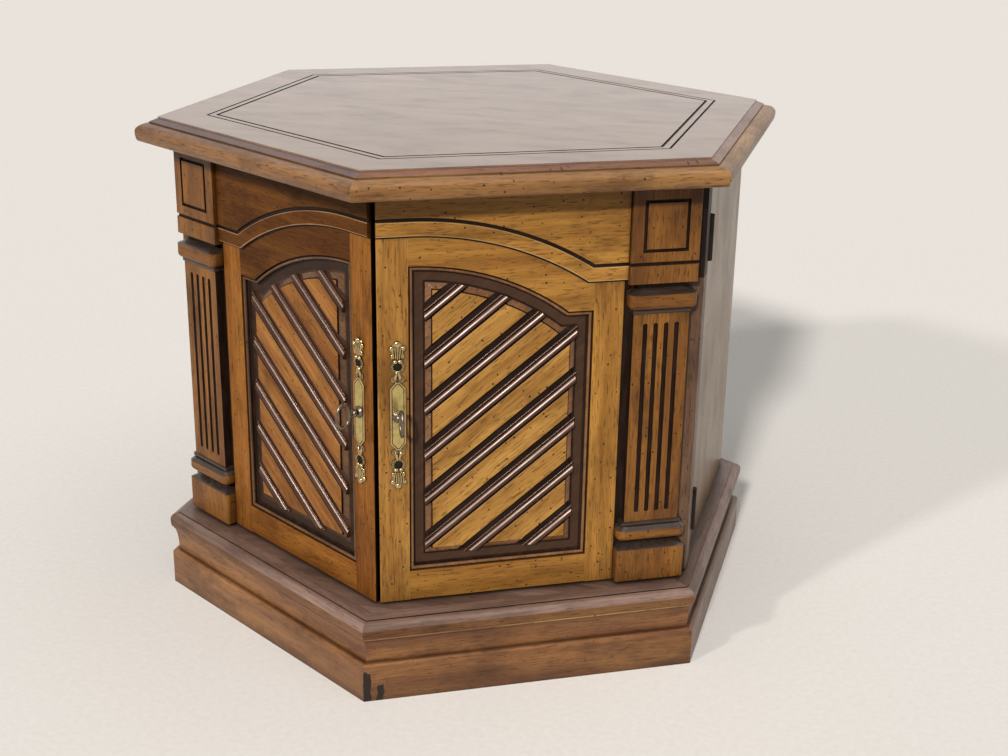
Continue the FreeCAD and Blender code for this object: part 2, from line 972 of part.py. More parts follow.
def pilaster_block():
    face = post_face + size.block_proud
    body = slab("right_pilaster_block", member(size.block_set_in, block_bottom, door_top), post_face, face)
    square_top = door_top - size.square_from_top
    square_low = square_top - size.square_height
    width = size.block_groove_width
    outer = size.square_width / 2
    inner = outer - width
    groove_floor = face - size.block_groove_depth
    ring = [
        rectangle(pilaster - outer, pilaster + outer, square_low, square_top),
        rectangle(pilaster - inner, pilaster + inner, square_low + width, square_top - width),
    ]
    cut_slab(body, ring, groove_floor, face)
    strip = member(size.block_set_in, frieze_shoulder - width / 2, frieze_shoulder + width / 2)
    cut_slab(body, [strip], groove_floor, face)
    return body


# Escutcheon plate and pull

pull_place = meeting_line(frame_face) + size.pull_inset
pull_level = door_bottom + size.pull_height
plate_face = frame_face + size.plate_thickness


def escutcheon_plate():
    half = size.plate_width / 2
    end = size.plate_length / 2
    shoulder = end - size.plate_point
    root_half = size.plate_root_width / 2
    scroll_half = size.scroll_width / 2
    shell_half = size.shell_width / 2
    ring = end + size.scroll_length + size.ring_radius - size.plate_lap
    shell_low = ring + size.ring_radius - size.plate_lap
    arch = tangent_radius(shell_half, size.shell_length - size.shell_widest)
    body = new_body("right_escutcheon_plate")
    plate = [(half, -shoulder), (half, shoulder), (root_half, end), (-root_half, end), (-half, shoulder),
             (-half, -shoulder), (-root_half, -end), (root_half, -end)]
    add_slab(body, placed(plate, 1), frame_face, plate_face)
    scroll_top = end + size.scroll_length
    scroll_middle = end + size.scroll_length / 2
    scroll = [(-root_half, end), (root_half, end), (scroll_half, scroll_middle), (root_half, scroll_top),
              (-root_half, scroll_top), (-scroll_half, scroll_middle)]
    shell = [(-root_half, shell_low), (root_half, shell_low), (shell_half, shell_low + size.shell_widest),
             (0, shell_low + size.shell_length, arch, 1),
             (-shell_half, shell_low + size.shell_widest, arch, 1)]
    for way in (1, -1):
        add_slab(body, placed(scroll, way), frame_face, plate_face)
        disc = new_sketch(body, "XZ_Plane", frame_face)
        draw_circle(disc, pull_place, pull_level + way * ring, size.ring_radius)
        pad(body, disc, size.plate_thickness)
        add_slab(body, placed(shell, way), frame_face, plate_face)
        hole = new_sketch(body, "XZ_Plane", frame_face)
        draw_circle(hole, pull_place, pull_level + way * ring, size.ring_hole_radius)
        pocket(body, hole, size.plate_thickness, turned=True)
    return body


def placed(outline, way):
    """Outline moved to the pull's place, upright (1) or upside down (-1)."""
    moved = []
    for x, z, *arc in outline:
        if arc:
            arc = [arc[0], way * arc[1]]
        moved.append((pull_place + x, pull_level + way * z, *arc))
    return moved


def key_pull():
    body = new_body("right_key_pull")
    collar_end = plate_face + size.collar_length
    stem_end = collar_end + size.stem_length
    middle = stem_end - size.bow_lap + size.bow_depth / 2
    straight = size.bow_height / 2 - size.bow_depth / 2
    bow = new_sketch(body, "YZ_Plane", pull_place, pull_level)
    for inset in (as_size(0.0), size.bow_wire):
        radius = size.bow_depth / 2 - inset
        draw(bow, [
            (radius - middle, -straight, radius, 1),
            (radius - middle, straight),
            (-middle, straight + radius, radius, 1),
            (-(middle + radius), straight, radius, 1),
            (-(middle + radius), -straight),
            (-middle, -(straight + radius), radius, 1),
        ])
    pad(body, bow, size.bow_wire, both_ways=True)
    sides = [pull_place - size.bow_wire / 2, pull_place + size.bow_wire / 2]
    soften(body, "Fillet", lambda points: any(on(points, "x", side) for side in sides), size.bow_round)
    bead = collar_end + size.stem_length / 2
    half = size.bead_length / 2
    bulge = tangent_radius(size.bead_radius - size.stem_radius, half)
    section = new_sketch(body, "YZ_Plane", pull_place, pull_level)
    draw(section, [
        (-plate_face, 0),
        (-plate_face, size.collar_radius),
        (-collar_end, size.collar_radius),
        (-collar_end, size.stem_radius),
        (half - bead, size.stem_radius),
        (-(half + bead), size.stem_radius, bulge, 1),
        (-stem_end, size.stem_radius),
        (-stem_end, 0),
    ])
    turning = body.newObject("PartDesign::Revolution", "Turning")
    turning.Profile = section
    turning.ReferenceAxis = (section, ["H_Axis"])
    turning.Angle = 360
    return body


# Hinges, catch plates

axis_apothem = frame_back - size.hinge_gap / 2
knuckle_place = (size.wall_apothem + size.knuckle_out - axis_apothem * SIN) / COS
hinge_levels = {
    "upper": door_top - size.hinge_from_top - size.hinge_height,
    "lower": door_bottom + size.hinge_from_bottom,
}


def hinge_leaf(label, level, back, numbers):
    """Leaf plate with its own knuckles, lying between two apothems one leaf thickness apart."""
    left = knuckle_place - size.leaf_width
    edge = knuckle_place - size.knuckle_radius - size.leaf_gap
    front = back + size.hinge_leaf
    pitch = size.hinge_height / size.knuckle_count
    body = slab(label, rectangle(left, edge, level, level + size.hinge_height), back, front)
    for number in numbers:
        low = level + number * pitch + size.knuckle_gap / 2
        high = low + pitch - size.knuckle_gap
        add_slab(body, rectangle(edge, knuckle_place, low, high), back, front)
        barrel = new_sketch(body, "XY_Plane", low)
        draw_circle(barrel, knuckle_place, -axis_apothem, size.knuckle_radius)
        pad(body, barrel, high - low)
    bore = new_sketch(body, "XY_Plane", level + size.hinge_height)
    draw_circle(bore, knuckle_place, -axis_apothem, size.pin_radius + size.pin_gap)
    pocket(body, bore, size.hinge_height)
    return turned(body, HALF_TURN)


def hinge_pin(label, level):
    body = new_body(label)
    sketch = new_sketch(body, "XY_Plane", level)
    draw_circle(sketch, knuckle_place, -axis_apothem, size.pin_radius)
    pad(body, sketch, size.hinge_height)
    return turned(body, HALF_TURN)


def strike_plate():
    left = meeting_line(frame_back) + size.strike_inset
    top = door_top - size.strike_inset
    outline = rectangle(left, left + size.strike_width, top - size.strike_height, top)
    return slab("right_strike_plate", outline, frame_back - size.strike_thickness, frame_back)


# Assembly

keep(top_panel())
keep(upright("bottom_panel", hexagon(size.wall_apothem), size.rail_height, deck_top))
for face, angle in FACE_TURNS.items():
    keep(top_edge(face, angle))
    keep(nose_moulding(face, angle))
    keep(base_rail(face, angle))
for wall in (side_panel(), back_panel()):
    keep(wall)
    keep(mirrored(wall, wall.Label.replace("right", "left")))
keep(glue_blocks())
keep(door_catch())

RIGHT_DOOR = [meeting_stile, outer_stile, bottom_rail, top_rail, frieze_board, panel_moulding, carved_panel,
              pilaster_block, pilaster_capital, fluted_shaft, pilaster_base, plinth_block, escutcheon_plate,
              key_pull, strike_plate]
for piece in RIGHT_DOOR:
    body = keep(turned(piece(), HALF_TURN))
    keep(mirrored(body, body.Label.replace("right", "left")))

case_leaves, door_leaves, pins = [], [], []
for name, level in hinge_levels.items():
    knuckles = range(SIZES["knuckle_count"])
    case_leaf = hinge_leaf(f"case_leaf_{name}", level, case_front, knuckles[::2])
    pin = hinge_pin(f"pin_{name}", level)
    case_leaves += [case_leaf, mirrored(case_leaf, f"case_leaf_{name}_left")]
    pins += [pin, mirrored(pin, f"pin_{name}_left")]
    door_leaves.append(hinge_leaf(f"door_leaf_{name}", level, frame_back - size.hinge_leaf, knuckles[1::2]))
keep(group("hinge_case_leaves", case_leaves))
keep(group("hinge_pins", pins))
right_leaves = keep(group("right_hinge_leaves", door_leaves))
keep(mirrored(right_leaves, "left_hinge_leaves"))

# Check and write

doc.recompute()
for item in doc.Objects:
    if "Invalid" in item.State or "Error" in item.State:
        raise ValueError(f"{item.Label}: {item.State}")
os.makedirs("parts", exist_ok=True)
for subpart in subparts:
    if subpart.Shape.isNull() or not subpart.Shape.isValid():
        raise ValueError(f"{subpart.Label}: bad shape")
    subpart.Shape.exportStep(os.path.join("parts", f"{subpart.Label}.step"))
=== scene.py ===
"""Looks of a six-sided side table cabinet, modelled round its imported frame."""

import math
import random

import bmesh
import bpy
from bmesh.types import BMEdge, BMFace, BMVert
from bpy.props import FloatProperty, FloatVectorProperty, IntProperty, PointerProperty
from mathutils import Matrix, Vector


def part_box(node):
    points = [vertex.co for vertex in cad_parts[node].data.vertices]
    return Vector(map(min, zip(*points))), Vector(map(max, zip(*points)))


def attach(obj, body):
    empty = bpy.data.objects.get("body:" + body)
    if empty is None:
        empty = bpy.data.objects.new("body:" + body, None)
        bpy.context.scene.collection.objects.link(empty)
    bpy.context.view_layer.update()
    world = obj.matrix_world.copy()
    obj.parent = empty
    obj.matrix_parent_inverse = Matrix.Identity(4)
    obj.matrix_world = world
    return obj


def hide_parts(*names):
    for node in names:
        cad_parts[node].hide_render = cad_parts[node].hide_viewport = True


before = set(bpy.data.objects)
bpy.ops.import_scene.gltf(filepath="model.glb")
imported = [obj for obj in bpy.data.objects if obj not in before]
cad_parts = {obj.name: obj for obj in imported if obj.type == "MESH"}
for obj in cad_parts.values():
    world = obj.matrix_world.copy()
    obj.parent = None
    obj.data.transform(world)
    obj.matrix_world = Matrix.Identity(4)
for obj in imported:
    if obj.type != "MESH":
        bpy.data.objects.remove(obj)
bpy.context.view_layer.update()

bl_info = {
    "name": "Six-sided side table cabinet",
    "version": (1, 0, 0),
    "blender": (4, 5, 0),
    "location": "3D View > Sidebar > Side Table",
    "description": "Builds the wood, brass and bronze pieces of a six-sided cabinet round its frame",
    "category": "Object",
}

MM = 0.001
UP = Vector((0, 0, 1))
ALONG = Vector((1, 0, 0))
OUT = Vector((0, -1, 0))

# Half the turn from one side of the hexagon to the next
HALF_TURN = math.radians(30)
COS = math.cos(HALF_TURN)
SIN = math.sin(HALF_TURN)
TAN = math.tan(HALF_TURN)
FACES = ("front_right", "right", "back_right", "back_left", "left", "front_left")
FACE_TURNS = {face: Matrix.Rotation((2 * number + 1) * HALF_TURN, 4, "Z")
              for number, face in enumerate(FACES)}
MIRROR = Matrix.Scale(-1, 4, (1, 0, 0))
RIGHT_DOOR = FACE_TURNS["front_right"]
DOORS = {"right": RIGHT_DOOR, "left": MIRROR @ RIGHT_DOOR}


def door_box(piece):
    """Lowest and highest corner of a right-hand door node, with the door turned square to the front."""
    turn = RIGHT_DOOR.inverted()
    points = [turn @ vertex.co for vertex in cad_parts["right_" + piece].data.vertices]
    low = Vector([min(point[axis] for point in points) for axis in range(3)])
    high = Vector([max(point[axis] for point in points) for axis in range(3)])
    return low, high


# Lines of the case, read from the frame
TABLE_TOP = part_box("top_panel")[1].z
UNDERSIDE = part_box("top_panel")[0].z
TOP_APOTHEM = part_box("top_panel")[1].x
EDGE_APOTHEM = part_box("top_edge_right")[1].x
WALL_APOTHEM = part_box("side_panel_right")[1].x
WALL_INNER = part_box("side_panel_right")[0].x
CASE_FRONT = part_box("side_panel_right")[0].y
DECK_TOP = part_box("bottom_panel")[1].z
RAIL_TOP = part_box("bottom_panel")[0].z
NOSE_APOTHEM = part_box("nose_moulding_right")[1].x
PLINTH_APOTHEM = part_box("base_rail_right")[1].x
RAIL_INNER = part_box("base_rail_right")[0].x

# Boxes of the right door's pieces, read from the frame
STILE_LOW, STILE_HIGH = door_box("meeting_stile")
FRIEZE_LOW, FRIEZE_HIGH = door_box("frieze_board")
BLOCK_LOW, BLOCK_HIGH = door_box("pilaster_block")
CAPITAL_LOW, CAPITAL_HIGH = door_box("pilaster_capital")
SHAFT_LOW, SHAFT_HIGH = door_box("fluted_shaft")
BASE_LOW, BASE_HIGH = door_box("pilaster_base")
PLINTH_LOW, PLINTH_HIGH = door_box("plinth_block")
PLATE_LOW, PLATE_HIGH = door_box("escutcheon_plate")
PULL_LOW, PULL_HIGH = door_box("key_pull")
KNUCKLES_LOW, KNUCKLES_HIGH = door_box("hinge_leaves")

# Clearances in a door: round its panel, beside its pilaster block, and before the face of its key plate
GLUE_GAP = 0.2 * MM
BLOCK_GAP = 0.4 * MM
PLATE_SET = 0.2 * MM

# Lines of the right door
MEETING_HALF_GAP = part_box("right_meeting_stile")[0].x
DOOR_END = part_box("right_outer_stile")[1].x
DOOR_LOW = STILE_LOW.z
DOOR_HIGH = STILE_HIGH.z
FRAME_FACE = -STILE_LOW.y
FRAME_BACK = -STILE_HIGH.y
POST_FACE = -SHAFT_HIGH.y
PANEL_BACK = -door_box("carved_panel")[1].y
FRIEZE_FACE = -FRIEZE_LOW.y
FRIEZE_END = BLOCK_LOW.x - BLOCK_GAP
STILE_EDGE = FRIEZE_HIGH.x
OPENING_LEFT = STILE_HIGH.x
OPENING_RIGHT = door_box("outer_stile")[0].x
OPENING_LOW = door_box("bottom_rail")[1].z
SHOULDER = door_box("top_rail")[0].z
ARCH_CROWN = door_box("panel_moulding")[1].z + GLUE_GAP
PILASTER = (SHAFT_LOW.x + SHAFT_HIGH.x) / 2
PLATE_FACE = -PLATE_LOW.y - PLATE_SET
PULL_PLACE = (PLATE_LOW.x + PLATE_HIGH.x) / 2
PULL_LEVEL = (PLATE_LOW.z + PLATE_HIGH.z) / 2

# How deep raised parts are let into what carries them, and how close two places count as one
SEAT = 0.5 * MM
NEAR = 2e-6
MERGE = 1e-6

# Turn from which an edge is shaded as sharp, and how far apart in metres the pieces' grain is drawn from
SHARP_ANGLE = math.radians(36)
GRAIN_SPREAD = 5

# Order of a piece's finishes: its wood or brass, a near-black stain for its lines that also serves as painted
# shade in gaps and recesses, and one more
PLAIN, STAIN_AND_SHADE, EXTRA = range(3)

# Order of a carved panel's finishes, after the wood of its planks
GROOVE, MARGIN, REED, BEVEL, HIGHLIT_EDGE, LINE = range(1, 7)


def length(name, description, millimetres):
    """Length property, given in millimetres."""
    return FloatProperty(name=name, description=description, default=millimetres * MM, min=0.0,
                         precision=4, subtype="DISTANCE", unit="LENGTH")


def colour(name, description, *shade):
    """Colour property, in linear light."""
    return FloatVectorProperty(name=name, description=description, default=shade, size=3, min=0.0, max=1.0,
                               subtype="COLOR")


class CabinetSizes(bpy.types.PropertyGroup):
    """Sizes of the worked edges, lines, reeds and flutes."""
    arris: length("Arris", "Rounding of the wood's worn edges", 0.8)
    meeting_round: length("Meeting edge", "Rounding where the doors meet", 2.4)
    bevel_line: length("Bevel line", "Width of the stained line between the planks and their bevels", 0.8)
    bevel_drop: length("Bevel drop", "How far the stained line lies under the planks", 1.8)
    meeting_close: length("Meeting gap", "How much closer the finished edges meet than the frame's", 0.6)
    outer_line_inset: length("Outer line", "Outer incised line, in from the edge of the top board", 41.4)
    outer_line_width: length("Outer line width", "Width of the outer incised line", 2.2)
    inner_line_inset: length("Inner line", "Inner incised line, in from the edge of the top board", 49.8)
    inner_line_width: length("Inner line width", "Width of the inner incised line", 2.8)
    line_depth: length("Line depth", "Depth of the incised lines of the top", 1.2)
    edge_lip: length("Edge lip", "Drop from the top board to its edge moulding", 1.5)
    edge_slope_run: length("Edge slope", "Width of the sloping part of the edge moulding", 7.4)
    edge_slope_drop: length("Edge slope drop", "Fall of the sloping part of the edge moulding", 3.2)
    edge_step: length("Edge step", "Step between slope and nose of the edge moulding", 1.5)
    edge_nose_height: length("Edge nose", "Height of the widest line of the edge moulding", 9.4)
    edge_tuck: length("Edge tuck", "How far the edge moulding turns in below its nose", 2.5)
    nose_step_in: length("Ledge step", "Width of the rounded part of the ledge", 8.0)
    nose_step: length("Ledge step height", "Height of the step on the ledge", 1.0)
    nose_height: length("Ledge nose", "Height of the widest line of the ledge", 8.5)
    nose_tuck: length("Ledge tuck", "How far the ledge turns in below its nose", 1.2)
    plinth_height: length("Plinth height", "Height of the flat face of the base", 39.0)
    plinth_round: length("Plinth round", "Rounding of the plinth's upper edge", 4.0)
    cove_foot_in: length("Cove foot", "Set-in of the foot of the cove", 6.2)
    cove_top_in: length("Cove top", "Set-in of the head of the cove", 2.0)
    cove_lip: length("Cove lip", "Height of the lip over the cove", 2.2)
    arch_shoulder: length("Arch shoulder", "Level stretch beside the arch of the opening", 23.7)
    frieze_crown: length("Frieze crown", "Drop from the door's top to the crown of the frieze groove", 23.9)
    frieze_drop: length("Frieze drop", "Fall of the frieze groove from crown to shoulder", 50.6)
    frieze_shoulder: length("Frieze shoulder", "Level stretch beside the arch of the frieze", 31.0)
    frieze_band: length("Frieze band", "Width of the arched band, from the groove's middle", 15.0)
    band_round: length("Band round", "Rounding of the arched band's lower edge", 1.2)
    # The band line is painted shade under the arched band
    band_shade_line: length("Band line", "Dark line under the arched band", 1.6)
    frieze_groove: length("Frieze groove", "Width of the groove over the band", 3.3)
    frieze_groove_depth: length("Frieze groove depth", "Depth of the groove over the band", 2.2)
    moulding_width: length("Panel moulding", "Width of the moulding round the panel", 6.0)
    panel_margin: length("Panel margin", "Width of the sunk margin round the raised field", 9.0)
    bed_line: length("Bed line", "Black line round the foot of the raised field", 1.0)
    panel_bevel: length("Panel bevel", "Width of the bevel round the raised field", 6.0)
    floor_depth: length("Panel floor", "Depth of the sunk margin under the door's face", 6.0)
    field_set: length("Field set", "Depth of the raised field under the door's face", 0.5)
    reed_angle: FloatProperty(name="Reed slope", description="Slope of the reeds", subtype="ANGLE",
                              unit="ROTATION", default=math.radians(38.2))
    reed_count: IntProperty(name="Reeds", description="Number of reeds on a panel", default=8, min=1)
    reed_pitch: length("Reed pitch", "Distance between reeds, square to them", 35.7)
    first_reed_drop: length("First reed", "Drop from the panel's corner to the first reed", 33.0)
    reed_radius: length("Reed radius", "Half the width of a reed", 3.3)
    reed_round: length("Reed round", "Rounding of a reed's lower side", 0.9)
    reed_face: length("Reed face", "Radius of a reed's broad face", 8.6)
    reed_back: length("Reed back", "Rounding of a reed's upper side", 1.0)
    reed_drop: length("Reed drop", "How far a reed lies under the field", 0.2)
    reed_quirk: length("Reed quirk", "Gap between a reed and the field below it", 1.2)
    plank_edge: length("Plank edge", "Width of the rubbed edge beside a reed", 1.8)
    bead_radius: length("Bead radius", "Half the width of the bead above a reed", 0.8)
    bead_rise: length("Bead rise", "How far the bead stands over the groove", 2.2)
    reed_groove_width: length("Reed groove", "Width of the groove that a reed lies in", 15.7)
    reed_groove_depth: length("Reed groove depth", "Depth of the groove that a reed lies in", 3.5)
    reed_slope_width: length("Reed slope width", "Width of the groove's sloping side", 2.0)
    flute_count: IntProperty(name="Flutes", description="Number of flutes on a pilaster", default=4, min=1)
    flute_pitch: length("Flute pitch", "Distance between flutes", 10.3)
    flute_width: length("Flute width", "Width of a flute", 4.4)
    flute_depth: length("Flute depth", "Depth of a flute", 3.0)
    flute_margin: length("Flute margin", "Plain stretch at both ends of the flutes", 10.0)
    square_width: length("Square width", "Width of the incised square", 43.6)
    square_height: length("Square height", "Height of the incised square", 49.0)
    square_from_top: length("Square drop", "Distance of the square from the door's top", 14.4)
    block_groove: length("Block groove", "Width of the grooves of the pilaster block", 3.0)
    block_groove_depth: length("Block groove depth", "Depth of the grooves of the pilaster block", 2.5)
    fillet_height: length("Fillet", "Height of the fillet between shaft and rounded members", 4.2)
    base_neck: length("Base neck", "Height of the neck over the plinth block", 4.0)
    capital_neck: length("Capital neck", "Height of the neck under the pilaster block", 4.5)
    neck_set_in: length("Neck set-in", "Set-in of the necks from the rounded members' sides", 9.0)
    neck_set_back: length("Neck set-back", "Set-back of the necks from the rounded members' faces", 9.5)
    fillet_set_in: length("Fillet set-in", "Set-in of the fillets from the rounded members' sides", 4.4)
    fillet_set_back: length("Fillet set-back", "Set-back of the fillets from the rounded members' faces", 4.4)
    fillet_round: length("Fillet round", "Rounding of the fillets", 1.5)
    capital_slope_rise: length("Capital slope", "Height of the capital's sloping top", 4.5)
    capital_slope_run: length("Capital slope run", "Depth of the capital's sloping top", 8.5)
    base_slope: length("Base slope", "Height and depth of the base moulding's sloping top", 3.0)
    plinth_slope_rise: length("Plinth slope", "Height of the plinth block's sloping top", 5.5)
    plinth_slope_run: length("Plinth slope run", "Depth of the plinth block's sloping top", 9.0)
    member_round: length("Member round", "Rounding below the rounded members", 5.0)
    member_corner: length("Member corner", "Rounding of the rounded members' corners", 7.5)
    plinth_corner: length("Plinth block corner", "Rounding of the plinth block's corners", 3.0)


class CabinetColours(bpy.types.PropertyGroup):
    """Colours of the finishes, as they show under plain light. Some carry painted shade and painted
    highlights as well.
    """
    right_light: colour("Right door, light", "Golden wood of the right door", 0.44, 0.215, 0.042)
    right_dark: colour("Right door, dark", "Darker figure of the right door", 0.26, 0.108, 0.018)
    left_light: colour("Left door, light", "Redder wood of the left door", 0.285, 0.112, 0.020)
    left_dark: colour("Left door, dark", "Darker figure of the left door", 0.17, 0.055, 0.010)
    # Painted shade: the left crest's colours darken its frieze and top rail as if in the top's shadow
    left_crest_shade_light: colour("Left crest, light", "Browner boards over the left opening", 0.135, 0.050, 0.009)
    left_crest_shade_dark: colour("Left crest, dark", "Darker figure of those boards", 0.085, 0.028, 0.006)
    plank_light: colour("Right planks, light", "Paler wood of the right panel and stile", 0.48, 0.25, 0.058)
    left_plank_light: colour("Left planks, light", "Paler wood of the left panel", 0.330, 0.142, 0.036)
    bevel_light: colour("Bevels, light", "Stained bevels and mouldings of the panels", 0.27, 0.128, 0.048)
    bevel_dark: colour("Bevels, dark", "Darker figure of the bevels", 0.15, 0.055, 0.016)
    left_bevel_light: colour("Left bevels, light", "Browner bevels of the left panel", 0.150, 0.072, 0.030)
    left_bevel_dark: colour("Left bevels, dark", "Darker figure of the left bevels", 0.080, 0.035, 0.014)
    pilaster_light: colour("Pilasters, light", "Browner wood of the pilasters", 0.235, 0.096, 0.017)
    pilaster_dark: colour("Pilasters, dark", "Darker figure of the pilasters", 0.145, 0.053, 0.011)
    edge_light: colour("Edge, light", "Wood of the top's edge", 0.36, 0.190, 0.064)
    edge_dark: colour("Edge, dark", "Darker figure of the top's edge", 0.20, 0.084, 0.025)
    edge_slope_light: colour("Edge slope, light", "Stained slope of the top's edge", 0.25, 0.105, 0.052)
    edge_slope_dark: colour("Edge slope, dark", "Darker figure of that slope", 0.13, 0.048, 0.024)
    left_edge_light: colour("Left edge, light", "Browner wood of the left edges", 0.24, 0.115, 0.042)
    left_edge_dark: colour("Left edge, dark", "Darker figure of the left edges", 0.105, 0.042, 0.014)
    left_slope_light: colour("Left slope, light", "Stained slope of the left edges", 0.115, 0.046, 0.034)
    left_slope_dark: colour("Left slope, dark", "Darker figure of that slope", 0.055, 0.020, 0.014)
    post_light: colour("Post, light", "Dull wood of the posts beside the pilasters", 0.20, 0.112, 0.064)
    post_dark: colour("Post, dark", "Darker figure of the posts", 0.11, 0.056, 0.032)
    # Rubbed edges: lighter than the doors' wood, partly wear and partly a painted highlight
    rubbed: colour("Rubbed edge", "Polished edges of the right door", 0.50, 0.31, 0.14)
    left_rubbed: colour("Left rubbed edge", "Polished edges of the left door", 0.34, 0.19, 0.10)
    slope: colour("Slope", "Glossy dark stain on the pilasters' slopes", 0.026, 0.017, 0.013)
    base_light: colour("Base, light", "Wood of the base", 0.300, 0.138, 0.046)
    base_dark: colour("Base, dark", "Darker figure of the base", 0.14, 0.052, 0.020)
    # The lip's colour is partly wear and partly a painted highlight, used in front on the right only
    lip: colour("Lip", "Rubbed lip of the base", 0.50, 0.31, 0.105)
    top_light: colour("Top, light", "Veneer of the top", 0.25, 0.145, 0.085)
    top_dark: colour("Top, dark", "Darker figure of the top", 0.18, 0.10, 0.058)
    wall_light: colour("Walls, light", "Plain wood of the sides and back", 0.300, 0.175, 0.074)
    wall_dark: colour("Walls, dark", "Darker figure of the sides and back", 0.250, 0.143, 0.058)
    nose_light: colour("Nose, light", "Brown wood under the ledge's nose", 0.20, 0.092, 0.034)
    nose_dark: colour("Nose, dark", "Darker figure under the ledge's nose", 0.11, 0.045, 0.017)
    ledge_light: colour("Ledge, light", "Worn ledge under the doors", 0.265, 0.172, 0.136)
    ledge_dark: colour("Ledge, dark", "Dark streaks of the ledge", 0.12, 0.067, 0.047)
    # The near-black stain is real in grooves and lines; the woods also paint it as shade in their corners
    stain: colour("Stain", "Near-black stain in grooves and hollows", 0.013, 0.006, 0.0035)
    left_groove: colour("Left grooves", "Browner stain of the left panel's grooves", 0.045, 0.021, 0.013)
    recess: colour("Right margin", "Dark stain of the right panel's sunk margin", 0.050, 0.023, 0.011)
    left_recess: colour("Left margin", "Darker stain of the left panel's sunk margin", 0.026, 0.013, 0.007)
    reed: colour("Reed", "Dark lacquer of the reeds", 0.045, 0.018, 0.010)
    ornament: colour("Ornament", "Paler cast brass of the plates' ends", 0.56, 0.42, 0.21)
    brass: colour("Brass", "Bright brass of the plates", 0.60, 0.47, 0.175)
    pull: colour("Key pull", "Dull brass of the key pulls", 0.22, 0.175, 0.13)
    bronze: colour("Bronze", "Dark bronze of the hinges and of the plates' tarnish", 0.022, 0.016, 0.012)
    steel: colour("Steel", "Grey steel of the catch", 0.45, 0.44, 0.42)
    floor: colour("Floor", "Pale floor", 0.79, 0.77, 0.745)
    backdrop: colour("Backdrop", "Pale surroundings", 0.69, 0.68, 0.665)


def sizes():
    return bpy.context.scene.cabinet_sizes


def colours():
    return bpy.context.scene.cabinet_colours


# Mesh tools

def near(first, second):
    return abs(first - second) < NEAR


def quarter(start, end, rising=False, steps=6):
    """Points of a quarter of an ellipse after its start: level at the start and upright at the end, or the
    other way round."""
    points = []
    for step in range(1, steps + 1):
        turn = math.pi / 2 * step / steps
        across, down = math.sin(turn), 1 - math.cos(turn)
        if rising:
            across, down = down, across
        points.append((start[0] + (end[0] - start[0]) * across, start[1] + (end[1] - start[1]) * down))
    return points


def rectangle(left, right, low, high):
    return [(left, low), (right, low), (right, high), (left, high)]


def hexagon(apothem):
    """Six corners in plan, the first at the front."""
    radius = apothem / COS
    return [(radius * math.sin(2 * HALF_TURN * k), -radius * math.cos(2 * HALF_TURN * k)) for k in range(6)]


def only(kind, items):
    return [item for item in items if isinstance(item, kind)]


def everything(bm):
    return bm.verts[:] + bm.edges[:] + bm.faces[:]


def edges_where(bm, test):
    return [edge for edge in bm.edges if all(test(vert.co) for vert in edge.verts)]


def paint(faces, material):
    for face in faces:
        face.material_index = material


def extruded(bm, points, shift):
    """Closed solid swept from a flat outline. Returns the corners of its far face."""
    start = bm.faces.new([bm.verts.new(point) for point in points])
    moved = only(BMVert, bmesh.ops.extrude_face_region(bm, geom=[start])["geom"])
    bmesh.ops.translate(bm, verts=moved, vec=shift)
    return moved


def soften(bm, edges, amount, segments=2):
    """Round edges over. Returns the new faces."""
    if not edges:
        return []
    return bmesh.ops.bevel(bm, geom=edges, offset=amount, offset_type="OFFSET", segments=segments,
                           profile=0.5, affect="EDGES", material=-1, clamp_overlap=True)["faces"]


def add_mesh(bm, other):
    """Take another mesh in and drop it."""
    mesh = bpy.data.meshes.new("taken_in")
    other.to_mesh(mesh)
    other.free()
    bm.from_mesh(mesh)
    bpy.data.meshes.remove(mesh)


def face_board(bm, outline, back, front, arris=0.0):
    """Board drawn on the door's face, from one apothem out to another, with a soft front edge."""
    moved = set(extruded(bm, [(x, -back, z) for x, z in outline], OUT * (front - back)))
    if arris:
        soften(bm, [edge for edge in bm.edges if moved.issuperset(edge.verts)], arris)


def add_board(bm, outline, back, front, arris=0.0, material=PLAIN):
    """Take in a further board of one finish, drawn on the door's face."""
    board = bmesh.new()
    face_board(board, outline, back, front, arris)
    paint(board.faces, material)
    add_mesh(bm, board)


def plan_board(bm, outline, low, high):
    """Board or block drawn in plan."""
    extruded(bm, [(x, y, low) for x, y in outline], UP * (high - low))


def trim(bm, place, normal):
    """Cut off what lies on a plane's outer side and close the cut. Returns the closing faces."""
    cut = bmesh.ops.bisect_plane(bm, geom=everything(bm), plane_co=place, plane_no=normal, clear_outer=True)
    edges = only(BMEdge, cut["geom_cut"])
    if not edges:
        return []
    return bmesh.ops.holes_fill(bm, edges=edges, sides=0)["faces"]


def score(bm, place, normal):
    """Add a line of edges where a plane passes."""
    bmesh.ops.bisect_plane(bm, geom=everything(bm), plane_co=place, plane_no=normal)


def cut_line(bm, face, inset, width, depth):
    """Sink a stained line into a flat face, an inset in from its edge. The face stays as what lies inside."""
    wall = 0.05 * MM
    steps = ((inset, 0.0, False), (wall, -depth, True), (width, 0.0, True), (wall, depth, True))
    for thickness, drop, sunk in steps:
        if thickness:
            ring = bmesh.ops.inset_individual(bm, faces=[face], thickness=thickness, depth=drop,
                                              use_even_offset=True)["faces"]
            if sunk:
                paint(ring, STAIN_AND_SHADE)


def spin_round(bm, centre, axis, steps):
    """Turn a wire once round an axis."""
    bmesh.ops.spin(bm, geom=bm.verts[:] + bm.edges[:], cent=centre, axis=axis, angle=2 * math.pi, steps=steps,
                   use_merge=True)
    bmesh.ops.remove_doubles(bm, verts=bm.verts, dist=MERGE)


def mitred_run(profile):
    """Moulding of one section (apothem, height), mitred at both corners of its side of the hexagon."""
    bm = bmesh.new()
    reach = max(apothem for apothem, _ in profile)
    extruded(bm, [(-reach, -apothem, height) for apothem, height in profile], ALONG * 2 * reach)
    for side in (1, -1):
        trim(bm, (0, 0, 0), (side * COS, SIN, 0))
    return bm


